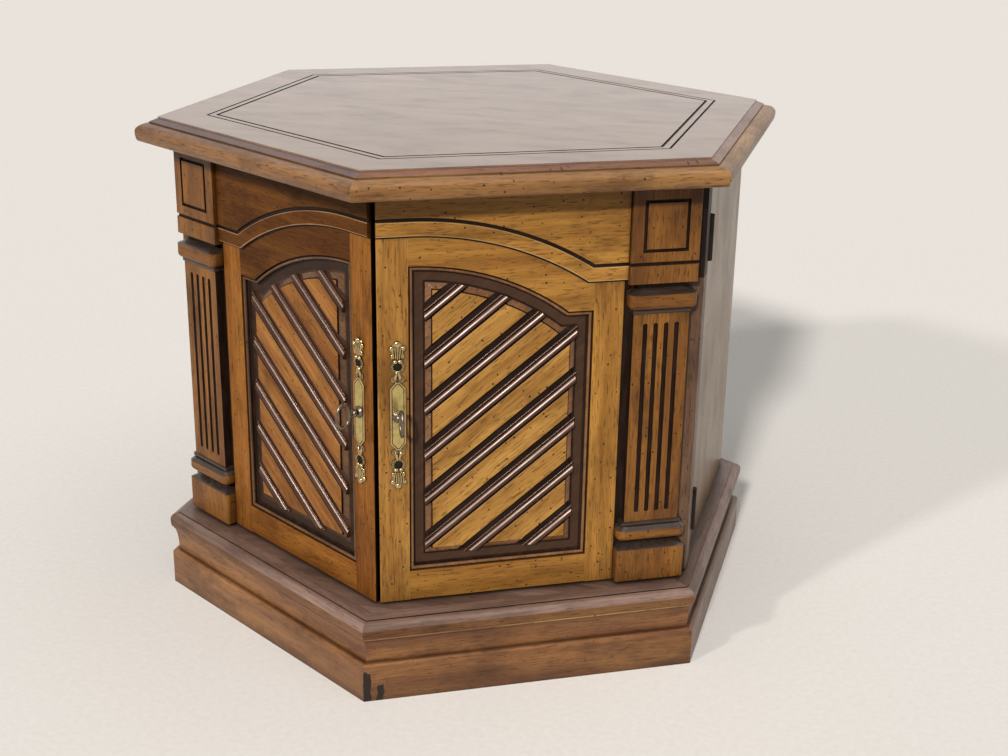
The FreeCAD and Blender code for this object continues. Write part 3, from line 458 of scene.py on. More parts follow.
def finish_piece(bm, name, node, body, finishes, place=Matrix(), along=ALONG, across=UP):
    """Give a mesh its grain, its place, its finishes and the body it rides on, and hide the frame node it
    stands in for.
    """
    loose = [edge for edge in bm.edges if not edge.is_manifold]
    if loose:
        raise RuntimeError(f"{name}: {len(loose)} open edges")
    draw = random.Random(name)
    offset = Vector([draw.uniform(0, GRAIN_SPREAD) for _ in range(3)])
    grain = bm.verts.layers.float_vector.new("grain")
    depth = along.cross(across)
    for vert in bm.verts:
        vert[grain] = Vector((vert.co.dot(along), vert.co.dot(across), vert.co.dot(depth))) + offset
    bmesh.ops.transform(bm, matrix=place, verts=bm.verts)
    bmesh.ops.recalc_face_normals(bm, faces=bm.faces)
    mesh = bpy.data.meshes.new(name)
    bm.to_mesh(mesh)
    bm.free()
    for material in finishes:
        mesh.materials.append(material)
    mesh.polygons.foreach_set("use_smooth", [True] * len(mesh.polygons))
    mesh.set_sharp_from_angle(angle=SHARP_ANGLE)
    piece = bpy.data.objects.new(name, mesh)
    bpy.context.scene.collection.objects.link(piece)
    weighted = piece.modifiers.new("Even shading", "WEIGHTED_NORMAL")
    weighted.keep_sharp = True
    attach(piece, body)
    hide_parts(node)


def door_piece(bm, side, name, node, finishes, along=ALONG, across=UP):
    """Finish a piece that was drawn with the right door square to the front, and put it on its door."""
    finish_piece(bm, f"{side}_{name}", f"{side}_{node}", f"{side}_door", finishes, DOORS[side], along,
                 across)


# Shader tools

def add(tree, kind, inputs=None, **settings):
    """Node with its settings, and its inputs linked or set."""
    node = tree.nodes.new(kind)
    for key, value in settings.items():
        setattr(node, key, value)
    for key, value in (inputs or {}).items():
        if isinstance(value, bpy.types.NodeSocket):
            tree.links.new(value, node.inputs[key])
        else:
            node.inputs[key].default_value = value
    return node


def maths(tree, operation, first, second):
    return add(tree, "ShaderNodeMath", {0: first, 1: second}, operation=operation).outputs[0]


def vectors(tree, operation, first, second):
    return add(tree, "ShaderNodeVectorMath", {0: first, 1: second}, operation=operation).outputs[0]


def spread(tree, value, low, high, to_low=0.0, to_high=1.0):
    """Value moved from one range to another, and held within it."""
    node = add(tree, "ShaderNodeMapRange", {"Value": value, "From Min": low, "From Max": high,
                                            "To Min": to_low, "To Max": to_high})
    return node.outputs["Result"]


def blend(tree, factor, first, second, mode="MIX"):
    node = add(tree, "ShaderNodeMix", {0: factor, 6: first, 7: second}, data_type="RGBA", blend_type=mode)
    return node.outputs[2]


def noise(tree, vector, scale, detail=2.0, roughness=0.5):
    """Outputs of a noise, with its scale per metre in each direction."""
    place = vectors(tree, "MULTIPLY", vector, scale)
    return add(tree, "ShaderNodeTexNoise", {"Vector": place, "Scale": 1.0, "Detail": detail,
                                            "Roughness": roughness}).outputs


def jittered(tree, vector, scale, reach, detail=2.0):
    """Vector moved about by a noise, as far as its reach in each direction."""
    jitter = noise(tree, vector, scale, detail)["Color"]
    return vectors(tree, "ADD", vector, vectors(tree, "MULTIPLY", jitter, reach))


def openness(tree, distance, samples=8):
    """How open a place is to what lies within a distance: low in corners and hollows."""
    return add(tree, "ShaderNodeAmbientOcclusion", {"Distance": distance}, samples=samples).outputs["AO"]


def grain_vector(tree):
    return add(tree, "ShaderNodeAttribute", attribute_name="grain").outputs["Vector"]


def object_place(tree):
    return add(tree, "ShaderNodeTexCoord").outputs["Object"]


def tint(name, share=1.0):
    """Colour of that name, made darker or lighter by a share."""
    return (*[part * share for part in getattr(colours(), name)], 1.0)


def feed(tree, shader, tone, roughness, height, strength, depth, invert=False):
    """Lead colour, roughness and relief into the shader."""
    relief = add(tree, "ShaderNodeBump", {"Height": height, "Strength": strength, "Distance": depth},
                 invert=invert)
    for name, value in (("Base Color", tone), ("Roughness", roughness), ("Normal", relief.outputs["Normal"])):
        tree.links.new(value, shader.inputs[name])


def finish(name, build, **settings):
    """Material of that name, made the first time it is asked for."""
    made = bpy.data.materials.get(name)
    if made is None:
        made = bpy.data.materials.new(name)
        made.use_nodes = True
        build(made.node_tree, made.node_tree.nodes["Principled BSDF"], **settings)
    return made


# Woods, by the names of their colours

# hollows sets how strongly each wood is painted with shade in its corners and sheltered places
WOODS = {
    "door_wood_right": dict(light="right_light", dark="right_dark"),
    "door_wood_left": dict(light="left_light", dark="left_dark", specks=0.7, pores=0.45, shine=0.08),
    "crest_wood_left": dict(light="left_crest_shade_light", dark="left_crest_shade_dark", specks=0.7, pores=0.5, shine=0.06),
    "plank_wood_right": dict(light="plank_light", dark="right_dark"),
    "plank_wood_left": dict(light="left_plank_light", dark="left_dark", specks=0.7, pores=0.45, shine=0.1),
    "bevel_wood_right": dict(light="bevel_light", dark="bevel_dark", roughness=0.32, shine=0.5),
    "bevel_wood_left": dict(light="left_bevel_light", dark="left_bevel_dark", roughness=0.32, shine=0.35),
    # Rubbed edges: partly wear and partly a painted highlight along edges that catch the light
    "rubbed_edge_right": dict(light="rubbed", dark="right_light", roughness=0.27, specks=0.0, pores=0.2,
                              hollows=0.3, shine=0.9),
    "rubbed_edge_left": dict(light="left_rubbed", dark="left_light", roughness=0.27, specks=0.0, pores=0.2,
                             hollows=0.3, shine=0.55),
    "pilaster_wood": dict(light="pilaster_light", dark="pilaster_dark"),
    "post_wood": dict(light="post_light", dark="post_dark"),
    "edge_wood_right": dict(light="edge_light", dark="edge_dark", roughness=0.36, shine=0.35),
    "edge_wood_left": dict(light="left_edge_light", dark="left_edge_dark", roughness=0.3, specks=0.6,
                           shine=0.35),
    "slope_wood_right": dict(light="edge_slope_light", dark="edge_slope_dark", roughness=0.3, shine=0.5),
    "slope_wood_left": dict(light="left_slope_light", dark="left_slope_dark", roughness=0.25, specks=0.3,
                            shine=0.7),
    "base_wood": dict(light="base_light", dark="base_dark", roughness=0.36, specks=0.35, pores=0.5,
                      shine=0.4),
    "lip_wood": dict(light="lip", dark="base_light", roughness=0.3, shine=0.5),
    "nose_wood": dict(light="nose_light", dark="nose_dark", roughness=0.36, specks=0.35),
    "ledge_wood": dict(light="ledge_light", dark="ledge_dark", specks=0.0, pores=0.35, shine=0.4),
    "top_wood": dict(light="top_light", dark="top_dark", roughness=0.16, specks=0.1, pores=0.1, hollows=0.3,
                     shine=0.7, streaks=0.5),
    "wall_wood": dict(light="wall_light", dark="wall_dark", roughness=0.3, specks=0.0, pores=0.1, hollows=0.3,
                      shine=0.29, streaks=0.12),
}
# The right stile is as pale as the planks, and only the left door's crest is darker and browner than its
# frame, as painted shade from the top's overhang
STILE_WOODS = {"right": "plank_wood_right", "left": "door_wood_left"}
CREST_WOODS = {"right": "door_wood_right", "left": "crest_wood_left"}

# Scales of the wood's patterns per metre, along the grain and across it, and how far they sway in metres
WOBBLE = (5.0, 24.0, 24.0)
FIGURE = (2.6, 36.0, 36.0)
FIBRE = (14.0, 480.0, 480.0)
PORE = (75.0, 760.0, 760.0)
SMUDGE = (13.0, 27.0, 27.0)
SWAY = (0.0, 16 * MM, 16 * MM)

# Chips at the foot of the front corner: middle, half width and height, and the depth they end at
CHIPS = ((5.5 * MM, 3.2 * MM, 37 * MM), (16.5 * MM, 2.6 * MM, 23 * MM))
CHIPS_FRONT = -200 * MM


def wood(name):
    return finish(name, wood_nodes, **WOODS[name])


def wood_nodes(tree, shader, light, dark, roughness=0.4, specks=0.9, pores=0.6, hollows=0.75, shine=0.25,
               streaks=1.0):
    """Open-grained wood along the grain attribute, with pores and fly specks, and painted shade: darker in
    its corners, and faintly darker where nearby parts shelter it.
    """
    grain = grain_vector(tree)
    wavy = jittered(tree, grain, WOBBLE, SWAY)
    figure = spread(tree, noise(tree, wavy, FIGURE, 4.0, 0.62)["Fac"], 0.36, 0.66)
    smudge = noise(tree, grain, SMUDGE, 4.0, 0.65)["Fac"]
    smudged = spread(tree, smudge, 0.48, 0.72, 0.0, 0.5 + 0.3 * streaks)
    fibre = noise(tree, wavy, FIBRE, 3.0, 0.6)["Fac"]
    fibrous = spread(tree, fibre, 0.3, 0.72, 1 + 0.15 * streaks, 1 - 0.26 * streaks)
    pits = spread(tree, noise(tree, wavy, PORE, 1.0)["Fac"], 0.585, 0.68, 0.0, pores)
    flies = fly_specks(tree, grain, specks)
    # Painted shade: the wood darkens towards the stain in corners, and towards its dark figure where nearby
    # parts shelter it, as under the top
    corners = spread(tree, openness(tree, 6 * MM), 0.35, 0.8, hollows, 0.0)
    sheltered_shade = spread(tree, openness(tree, 40 * MM), 0.4, 0.95, hollows * 0.85, 0.0)
    tone = blend(tree, figure, tint(light, 1.1), tint(dark))
    tone = blend(tree, smudged, tone, tint(dark, 0.5))
    tone = blend(tree, 1.0, tone, fibrous, "MULTIPLY")
    for share, shade in ((pits, tint(dark, 0.2)), (flies, tint("stain")), (corners, tint("stain")),
                         (sheltered_shade, tint(dark, 0.3))):
        tone = blend(tree, share, tone, shade)
    worn = spread(tree, smudge, 0.3, 0.7, roughness - 0.05, roughness + 0.07)
    height = maths(tree, "ADD", maths(tree, "MULTIPLY", pits, 0.5), maths(tree, "MULTIPLY", fibre, 0.35))
    height = maths(tree, "ADD", height, flies)
    feed(tree, shader, tone, worn, height, 0.3, 0.4 * MM, invert=True)
    shader.inputs["Specular IOR Level"].default_value = shine


def fly_specks(tree, grain, strength):
    """Dark specks of the distressed finish, one here and there."""
    cells_per_metre = 112.0
    bare_cells = 0.45
    largest = 0.14
    soft_rim = 0.03
    ragged = jittered(tree, grain, 3 * (700.0,), 3 * (1.6 * MM,))
    cells = add(tree, "ShaderNodeTexVoronoi", {"Vector": ragged, "Scale": cells_per_metre},
                voronoi_dimensions="2D")
    chance = add(tree, "ShaderNodeSeparateColor", {"Color": cells.outputs["Color"]}).outputs["Red"]
    reach = spread(tree, chance, bare_cells, 1.0, 0.0, largest)
    inside = maths(tree, "SUBTRACT", reach, cells.outputs["Distance"])
    return spread(tree, inside, 0.0, soft_rim, 0.0, strength)


def chipped_nodes(tree, shader, **settings):
    """Wood with black chips at the foot of the front corner."""
    wood_nodes(tree, shader, **settings)
    ragged = jittered(tree, object_place(tree), (260.0, 260.0, 90.0), (6 * MM, 0.0, 12 * MM), 3.0)
    parts = add(tree, "ShaderNodeSeparateXYZ", {0: ragged}).outputs
    chips = 0.0
    for middle, half, height in CHIPS:
        away = maths(tree, "ABSOLUTE", maths(tree, "SUBTRACT", parts["X"], middle), 0.0)
        across = maths(tree, "LESS_THAN", away, half)
        up = maths(tree, "LESS_THAN", parts["Z"], height)
        chips = maths(tree, "MAXIMUM", chips, maths(tree, "MULTIPLY", across, up))
    chips = maths(tree, "MULTIPLY", chips, maths(tree, "LESS_THAN", parts["Y"], CHIPS_FRONT))
    tone = shader.inputs["Base Color"].links[0].from_socket
    tree.links.new(blend(tree, chips, tone, tint("stain")), shader.inputs["Base Color"])


# Stains

STAINS = {
    # The near-black stain is real in the grooves and lines, and painted shade where it darkens gaps and
    # recesses
    "groove_stain": dict(shade="stain", roughness=0.42, rub=1.8, shine=0.12),
    "slope_stain": dict(shade="slope", roughness=0.22, rub=1.6, shine=0.65, sheen=(1.0, 0.87, 0.8)),
    "groove_stain_left": dict(shade="left_groove", roughness=0.42, rub=1.6, shine=0.12),
    "recess_stain_right": dict(shade="recess", roughness=0.34, rub=1.3, shine=0.2),
    "recess_stain_left": dict(shade="left_recess", roughness=0.34, rub=1.3, shine=0.12),
    "reed_lacquer_right": dict(shade="reed", roughness=0.2, rub=1.6, shine=0.4, sheen=(1.0, 0.82, 0.72)),
    "reed_lacquer_left": dict(shade="reed", roughness=0.19, rub=1.6, shine=0.6, sheen=(1.0, 0.8, 0.67)),
}
PANEL_GROOVES = {"right": "groove_stain", "left": "groove_stain_left"}


def stain(name):
    return finish(name, stain_nodes, **STAINS[name])


def stain_nodes(tree, shader, shade, roughness, rub, shine, sheen=(1.0, 1.0, 1.0)):
    """Dark stain under lacquer, rubbed a little browner in patches, with the colour of its sheen."""
    patch = noise(tree, grain_vector(tree), (30.0, 160.0, 160.0), 3.0, 0.6)["Fac"]
    rubbed = [min(1.0, part * rub + 0.004) for part in getattr(colours(), shade)]
    tone = blend(tree, spread(tree, patch, 0.42, 0.72), tint(shade), (*rubbed, 1.0))
    worn = spread(tree, patch, 0.3, 0.7, roughness, roughness + 0.12)
    feed(tree, shader, tone, worn, patch, 0.15, 0.3 * MM)
    shader.inputs["Specular IOR Level"].default_value = shine
    shader.inputs["Specular Tint"].default_value = (*sheen, 1.0)


# Metals

METALS = {
    "polished_brass": dict(shade="brass", roughness=0.24, tarnish=0.9),
    "ornament_brass": dict(shade="ornament", roughness=0.17, tarnish=0.9),
    "plate_tarnish": dict(shade="bronze", roughness=0.5, tarnish=0.5, metallic=0.15),
    "pull_brass": dict(shade="pull", roughness=0.24, tarnish=0.9),
    "dark_bronze": dict(shade="bronze", roughness=0.45, tarnish=0.6, metallic=0.15),
    "dull_steel": dict(shade="steel", roughness=0.32, tarnish=0.5),
}
TARNISH = (0.02, 0.014, 0.008, 1.0)


def metal(name):
    return finish(name, metal_nodes, **METALS[name])


def metal_nodes(tree, shader, shade, roughness, tarnish, metallic=1.0):
    """Worn metal, tarnished in its hollows."""
    cloud = noise(tree, object_place(tree), 3 * (180.0,), 3.0, 0.6)["Fac"]
    tone = blend(tree, spread(tree, cloud, 0.45, 0.75, 0.0, 0.45), tint(shade), tint(shade, 0.22))
    hollows = spread(tree, openness(tree, 2 * MM, samples=6), 0.3, 0.8, tarnish, 0.0)
    tone = blend(tree, hollows, tone, TARNISH)
    worn = spread(tree, cloud, 0.3, 0.7, roughness, roughness + 0.15)
    feed(tree, shader, tone, worn, cloud, 0.2, 0.2 * MM)
    shader.inputs["Metallic"].default_value = metallic
    shader.inputs["Specular IOR Level"].default_value = 0.5 * metallic


# Mouldings round the hexagon

def hexagon_mouldings(kind, node, profile, finishes, bands):
    """Six mitred lengths of one moulding, with a finish of its own in each band between two heights."""
    for face, turn in FACE_TURNS.items():
        bm = mitred_run(profile)
        for number, (low, high) in enumerate(bands, start=1):
            paint([each for each in bm.faces if low < each.calc_center_median().z < high], number)
        finish_piece(bm, f"{kind}_{face}", f"{node}_{face}", "case", finishes(face), turn)


def top_edges():
    """Edge of the top: a stained slope under its lip, and a round nose."""
    size = sizes()
    slope_end = TOP_APOTHEM + size.edge_slope_run
    lip = TABLE_TOP - size.edge_lip
    slope_low = lip - size.edge_slope_drop
    step = slope_low - size.edge_step
    nose = (EDGE_APOTHEM, UNDERSIDE + size.edge_nose_height)
    profile = ([(TOP_APOTHEM, UNDERSIDE), (TOP_APOTHEM, lip), (slope_end, slope_low), (slope_end, step)]
               + quarter((slope_end, step), nose)
               + quarter(nose, (EDGE_APOTHEM - size.edge_tuck, UNDERSIDE), rising=True, steps=4))
    hexagon_mouldings("edge_moulding", "top_edge", profile, edge_finish, [(slope_low, lip)])


def edge_finish(face):
    """Wood of the top's edge and of its stained slope, both darker on the left."""
    side = "right" if "right" in face else "left"
    return [wood(f"edge_wood_{side}"), wood(f"slope_wood_{side}")]


def ledge():
    """Ledge under the doors: a small stained step and a round nose."""
    size = sizes()
    step_apothem = NOSE_APOTHEM - size.nose_step_in
    step = DECK_TOP - size.nose_step
    nose = (NOSE_APOTHEM, RAIL_TOP + size.nose_height)
    profile = ([(WALL_APOTHEM, RAIL_TOP), (WALL_APOTHEM, DECK_TOP)]
               + [(step_apothem, DECK_TOP), (step_apothem, step)]
               + quarter((step_apothem, step), nose)
               + quarter(nose, (NOSE_APOTHEM - size.nose_tuck, RAIL_TOP), rising=True, steps=4))
    hexagon_mouldings("ledge", "nose_moulding", profile, ledge_finish,
                      [(step, DECK_TOP), (RAIL_TOP, nose[1])])


def ledge_finish(face):
    """Wood of the ledge, stain in its step and browner wood under its nose, alike on all sides."""
    return [wood("ledge_wood"), stain("groove_stain"), wood("nose_wood")]


def base_rails():
    """Rails of the base: a flat plinth, rounded above, and a cove under a lip."""
    size = sizes()
    foot = PLINTH_APOTHEM - size.cove_foot_in
    lip = PLINTH_APOTHEM - size.cove_top_in
    lip_low = (lip, RAIL_TOP - size.cove_lip)
    round_start = (PLINTH_APOTHEM - size.plinth_round, size.plinth_height)
    profile = ([(RAIL_INNER, 0), (RAIL_INNER, RAIL_TOP), (lip, RAIL_TOP), lip_low]
               + quarter(lip_low, (foot, size.plinth_height))
               + [round_start]
               + quarter(round_start, (PLINTH_APOTHEM, size.plinth_height - size.plinth_round))
               + [(PLINTH_APOTHEM, 0)])
    hexagon_mouldings("plinth_rail", "base_rail", profile, base_finish, [(lip_low[1], RAIL_TOP)])


def base_finish(face):
    """Wood of the base and of the lip over its cove, which in front on the right is rubbed and painted
    brighter as a highlight.
    """
    plain = finish("base_wood", chipped_nodes, **WOODS["base_wood"])
    return [plain, wood("lip_wood") if face == "front_right" else plain]


# Case

def top_board():
    """Veneered top with two incised lines."""
    bm = bmesh.new()
    size = sizes()
    plan_board(bm, hexagon(TOP_APOTHEM), UNDERSIDE, TABLE_TOP)
    bm.normal_update()
    face = max(bm.faces, key=lambda each: each.calc_center_median().z)
    if face.normal.z < 0:
        face.normal_flip()
    outer_half = size.outer_line_width / 2
    inner_half = size.inner_line_width / 2
    between = size.inner_line_inset - size.outer_line_inset - outer_half - inner_half
    cut_line(bm, face, size.outer_line_inset - outer_half, size.outer_line_width, size.line_depth)
    cut_line(bm, face, between, size.inner_line_width, size.line_depth)
    finish_piece(bm, "top_board", "top_panel", "case", [wood("top_wood"), stain("groove_stain")],
                 across=OUT)


def deck_board():
    bm = bmesh.new()
    plan_board(bm, hexagon(WALL_APOTHEM), RAIL_TOP, DECK_TOP)
    finish_piece(bm, "deck_board", "bottom_panel", "case", [wood("ledge_wood")], across=OUT)


def wall_boards():
    """Side and back panels, mitred together."""
    outer, inner = WALL_APOTHEM, WALL_INNER
    side = [(outer, CASE_FRONT), (outer, TAN * outer), (inner, TAN * inner), (inner, CASE_FRONT)]
    back = [(-TAN * outer, -outer), (TAN * outer, -outer), (TAN * inner, -inner), (-TAN * inner, -inner)]
    back_turn = FACE_TURNS["back_right"]
    for kind, outline, turn in (("side_panel", side, Matrix()), ("back_panel", back, back_turn)):
        for hand, twin in (("right", Matrix()), ("left", MIRROR)):
            bm = bmesh.new()
            plan_board(bm, outline, DECK_TOP, UNDERSIDE)
            finish_piece(bm, f"{hand}_{kind}_board", f"{kind}_{hand}", "case",
                         [wood("wall_wood")], twin @ turn, UP, ALONG)


def corner_blocks():
    """Triangular glue blocks in the three closed corners."""
    low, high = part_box("glue_blocks")
    leg = 30 * MM
    outline = [(0, -high.y), (COS * leg, SIN * leg - high.y), (-COS * leg, SIN * leg - high.y)]
    bm = bmesh.new()
    for corner in (2, 3, 4):
        block = bmesh.new()
        plan_board(block, outline, low.z, high.z)
        turn = Matrix.Rotation(corner * 2 * HALF_TURN, 3, "Z")
        bmesh.ops.rotate(block, verts=block.verts, matrix=turn)
        add_mesh(bm, block)
    finish_piece(bm, "corner_blocks", "glue_blocks", "case", [wood("wall_wood")], along=UP,
                 across=ALONG)


# Lines of a door

def meeting_line(apothem):
    """Place along the door where its meeting edge lies at an apothem."""
    return (MEETING_HALF_GAP - sizes().meeting_close - apothem * SIN) / COS


def end_line(apothem):
    """Place along the door where its outer end lies at an apothem."""
    return (DOOR_END - apothem * SIN) / COS


def hinge_recess():
    """Corner of the recess for the hinge knuckles: place along the door and apothem."""
    clearance = 1.2 * MM
    radius = 3.4 * MM
    return KNUCKLES_HIGH.x - 2 * radius - clearance, -KNUCKLES_LOW.y + clearance


def arch(run, drop, crown, shoulder, inset, start):
    """Points of an arch over the opening's left side, set in from the one that falls by a drop over a run. It
    goes from a place at the left down to its shoulder."""
    steps = 28
    radius = (run * run + drop * drop) / (2 * drop) - inset
    centre = crown - inset - radius
    end = OPENING_LEFT + math.sqrt(radius * radius - (shoulder - inset - centre) ** 2)
    places = [start + (end - start) * step / steps for step in range(steps + 1)]
    return [(x, centre + math.sqrt(radius * radius - (x - OPENING_LEFT) ** 2)) for x in places]


def opening(inset):
    """Arched opening of the door frame, drawn in by an inset, from its lower left corner."""
    run = OPENING_RIGHT - sizes().arch_shoulder - OPENING_LEFT
    left = OPENING_LEFT + inset
    right = OPENING_RIGHT - inset
    head = arch(run, ARCH_CROWN - SHOULDER, ARCH_CROWN, SHOULDER, inset, left)
    return [(left, OPENING_LOW + inset), (right, OPENING_LOW + inset), (right, SHOULDER - inset)] + head[::-1]


def frieze_curve(drop):
    """Line of the frieze arch, moved down by a drop, from the meeting edge to the stile's edge."""
    size = sizes()
    crown = DOOR_HIGH - size.frieze_crown
    shoulder = crown - size.frieze_drop
    run = STILE_EDGE - size.frieze_shoulder - OPENING_LEFT
    line = arch(run, size.frieze_drop, crown, shoulder, drop, OPENING_LEFT)
    return [(FRIEZE_LOW.x, crown - drop)] + line + [(FRIEZE_END, shoulder - drop)]


# Door frame

def meeting_stile(side):
    """Stile at the front corner, its meeting edge painted near-black as the shade in the gap between the
    doors.
    """
    bm = bmesh.new()
    arris = meeting_line(FRAME_FACE)
    outline = [(arris, -FRAME_FACE), (OPENING_LEFT, -FRAME_FACE), (OPENING_LEFT, -FRAME_BACK),
               (meeting_line(FRAME_BACK), -FRAME_BACK)]
    plan_board(bm, outline, DOOR_LOW, DOOR_HIGH)
    meeting = edges_where(bm, lambda co: near(co.x, arris) and near(co.y, -FRAME_FACE))
    soften(bm, meeting, sizes().meeting_round, 4)
    bmesh.ops.recalc_face_normals(bm, faces=bm.faces)
    # Painted shade: the faces in the gap between the doors are near-black
    paint([face for face in bm.faces if face.normal.x < -0.8], STAIN_AND_SHADE)
    door_piece(bm, side, "meeting_stile_board", "meeting_stile",
               [wood(STILE_WOODS[side]), stain("groove_stain")], UP, ALONG)


def outer_stile(side):
    """Wide stile that carries the pilaster, with its dull post and a recess for the hinges. The post above
    the pilaster block and the reveal beside the shaft are painted near-black as shade.
    """
    bm = bmesh.new()
    recess_left, recess = hinge_recess()
    post_end = end_line(POST_FACE)
    outline = [(OPENING_RIGHT, -FRAME_FACE), (STILE_EDGE, -FRAME_FACE), (STILE_EDGE, -POST_FACE),
               (post_end, -POST_FACE), (end_line(recess), -recess), (recess_left, -recess),
               (recess_left, -FRAME_BACK), (OPENING_RIGHT, -FRAME_BACK)]
    plan_board(bm, outline, DOOR_LOW, DOOR_HIGH)
    for x, y in ((STILE_EDGE, -FRAME_FACE), (post_end, -POST_FACE)):
        soften(bm, edges_where(bm, lambda co: near(co.x, x) and near(co.y, y)), sizes().arris)
    score(bm, (SHAFT_LOW.x, 0, 0), ALONG)
    score(bm, (PILASTER, 0, 0), ALONG)
    score(bm, (0, 0, BLOCK_LOW.z), UP)
    bm.normal_update()
    for face in bm.faces:
        middle = face.calc_center_median()
        beside_shaft = STILE_EDGE - MM < middle.x < SHAFT_LOW.x and abs(face.normal.z) < 0.5
        # Painted shadow: the post's faces above the pilaster block, under the top, are near-black
        if middle.x > PILASTER and face.normal.y < 0.5:
            face.material_index = STAIN_AND_SHADE if middle.z > BLOCK_LOW.z else EXTRA
        # Painted shade: the reveal between the stile's edge and the shaft is near-black
        elif beside_shaft and FRAME_BACK + MM < -middle.y < FRAME_FACE - SEAT:
            face.material_index = STAIN_AND_SHADE
    door_piece(bm, side, "outer_stile_board", "outer_stile",
               [wood(f"door_wood_{side}"), stain("groove_stain"), wood("post_wood")], UP, ALONG)


def bottom_rail(side):
    bm = bmesh.new()
    face_board(bm, rectangle(OPENING_LEFT, OPENING_RIGHT, DOOR_LOW, OPENING_LOW), FRAME_BACK, FRAME_FACE)
    soften(bm, edges_where(bm, lambda co: near(co.z, DOOR_LOW) and near(co.y, -FRAME_FACE)), sizes().arris)
    door_piece(bm, side, "bottom_rail_board", "bottom_rail", [wood(f"door_wood_{side}")])


def top_rail(side):
    """Rail with the arch of the opening cut out of it."""
    bm = bmesh.new()
    outline = [(OPENING_LEFT, DOOR_HIGH), (OPENING_RIGHT, DOOR_HIGH)] + opening(0.0)[2:]
    face_board(bm, outline, FRAME_BACK, FRAME_FACE)
    door_piece(bm, side, "top_rail_board", "top_rail", [wood(CREST_WOODS[side])])


def frieze_board(side):
    """Board over the door with its arched band, the dark groove over it, and a dark line painted under it as
    the band's shade.
    """
    size = sizes()
    half = size.frieze_groove / 2
    upper = frieze_curve(-half)
    lower = frieze_curve(half)
    foot = frieze_curve(size.frieze_band)
    line = frieze_curve(size.frieze_band + size.band_shade_line)
    bm = bmesh.new()
    face_board(bm, [(FRIEZE_LOW.x, DOOR_HIGH)] + upper + [(FRIEZE_END, DOOR_HIGH)], FRAME_FACE, FRIEZE_FACE,
               size.arris / 2)
    band = bmesh.new()
    face_board(band, lower + foot[::-1], FRAME_FACE, FRIEZE_FACE)
    # Both edges of the band are rubbed and painted lighter as a highlight
    for curve, amount in ((lower, size.arris), (foot, size.band_round)):
        rim = edges_where(band, lambda co: near(co.y, -FRIEZE_FACE) and on_line(co, curve))
        paint(soften(band, rim, amount), EXTRA)
    add_mesh(bm, band)
    add_board(bm, upper + lower[::-1], FRAME_FACE, FRIEZE_FACE - size.frieze_groove_depth, material=STAIN_AND_SHADE)
    # Painted shade: a near-black strip under the band's lower edge
    add_board(bm, foot + line[::-1], FRAME_FACE, FRAME_FACE + size.arris / 2, material=STAIN_AND_SHADE)
    door_piece(bm, side, "frieze_arch", "frieze_board",
               [wood(CREST_WOODS[side]), stain("groove_stain"), wood(f"rubbed_edge_{side}")])


def on_line(place, line):
    """Whether a place lies on one of a line's points, seen from the front."""
    return any(near(place.x, x) and near(place.z, z) for x, z in line)


# Panel

def opening_ring(inset, apothem):
    """Corners of the opening's outline, drawn in by an inset, at an apothem."""
    return [Vector((x, -apothem, z)) for x, z in opening(inset)]


def shift_ring(verts, old, new):
    """Move corners that lie on one ring to the matching corners of another."""
    for vert in verts:
        number = min(range(len(old)), key=lambda each: (vert.co - old[each]).length_squared)
        vert.co = new[number]


def panel_moulding(side):
    """Small moulding round the arched opening: a stained quirk, a bead and a stained foot."""
    width = sizes().moulding_width
    floor = FRAME_FACE - sizes().floor_depth
    crest = FRAME_FACE - 0.7 * MM
    quirk = crest - 2.0 * MM
    bead_start = (width * 0.24, crest - 0.9 * MM)
    bead_top = (width * 0.45, crest)
    bead_end = (width * 0.72, crest - 1.9 * MM)
    groove = [(GLUE_GAP, floor), (GLUE_GAP, quirk), (bead_start[0], quirk)]
    bead = ([bead_start] + quarter(bead_start, bead_top, rising=True, steps=3)
            + quarter(bead_top, bead_end, steps=4))
    foot = [(width * 0.74, floor + 1.2 * MM), (width, floor + 0.6 * MM), (width, floor)]
    on_bead = range(len(groove), len(groove) + len(bead) - 1)
    rings = [opening_ring(inset, apothem) for inset, apothem in groove + bead + foot]
    bm = bmesh.new()
    verts = [bm.verts.new(corner) for corner in rings[0]]
    edges = [bm.edges.new(pair) for pair in zip(verts, verts[1:] + verts[:1])]
    for number, (old, new) in enumerate(zip(rings, rings[1:] + rings[:1])):
        swept = bmesh.ops.extrude_edge_only(bm, edges=edges)["geom"]
        verts = set(only(BMVert, swept))
        edges = [edge for edge in only(BMEdge, swept) if verts.issuperset(edge.verts)]
        paint(only(BMFace, swept), PLAIN if number in on_bead else STAIN_AND_SHADE)
        shift_ring(verts, old, new)
    bmesh.ops.remove_doubles(bm, verts=bm.verts, dist=MERGE)
    door_piece(bm, side, "panel_sticking", "panel_moulding",
               [wood(f"bevel_wood_{side}"), stain("groove_stain")], UP, ALONG)


def raised_field(foot_inset, foot, head_inset, head):
    """Flat-topped field with bevelled sides, shaped to the opening."""
    bm = bmesh.new()
    start = opening_ring(foot_inset, foot)
    moved = extruded(bm, start, Vector())
    shift_ring(moved, start, opening_ring(head_inset, head))
    return bm


def slope_axes():
    """Directions along the reeds and up square to them, on the door's face."""
    angle = sizes().reed_angle
    return Vector((math.cos(angle), 0, math.sin(angle))), Vector((-math.sin(angle), 0, math.cos(angle)))


def panel_levels():
    """Apothems of the sunk margin, of the raised field and of its grooves' floor."""
    field = FRAME_FACE - sizes().field_set
    return FRAME_FACE - sizes().floor_depth, field, field - sizes().reed_groove_depth


def panel_insets():
    """Insets of the foot and of the head of the field's bevel."""
    foot = sizes().moulding_width + sizes().panel_margin
    return foot, foot + sizes().panel_bevel


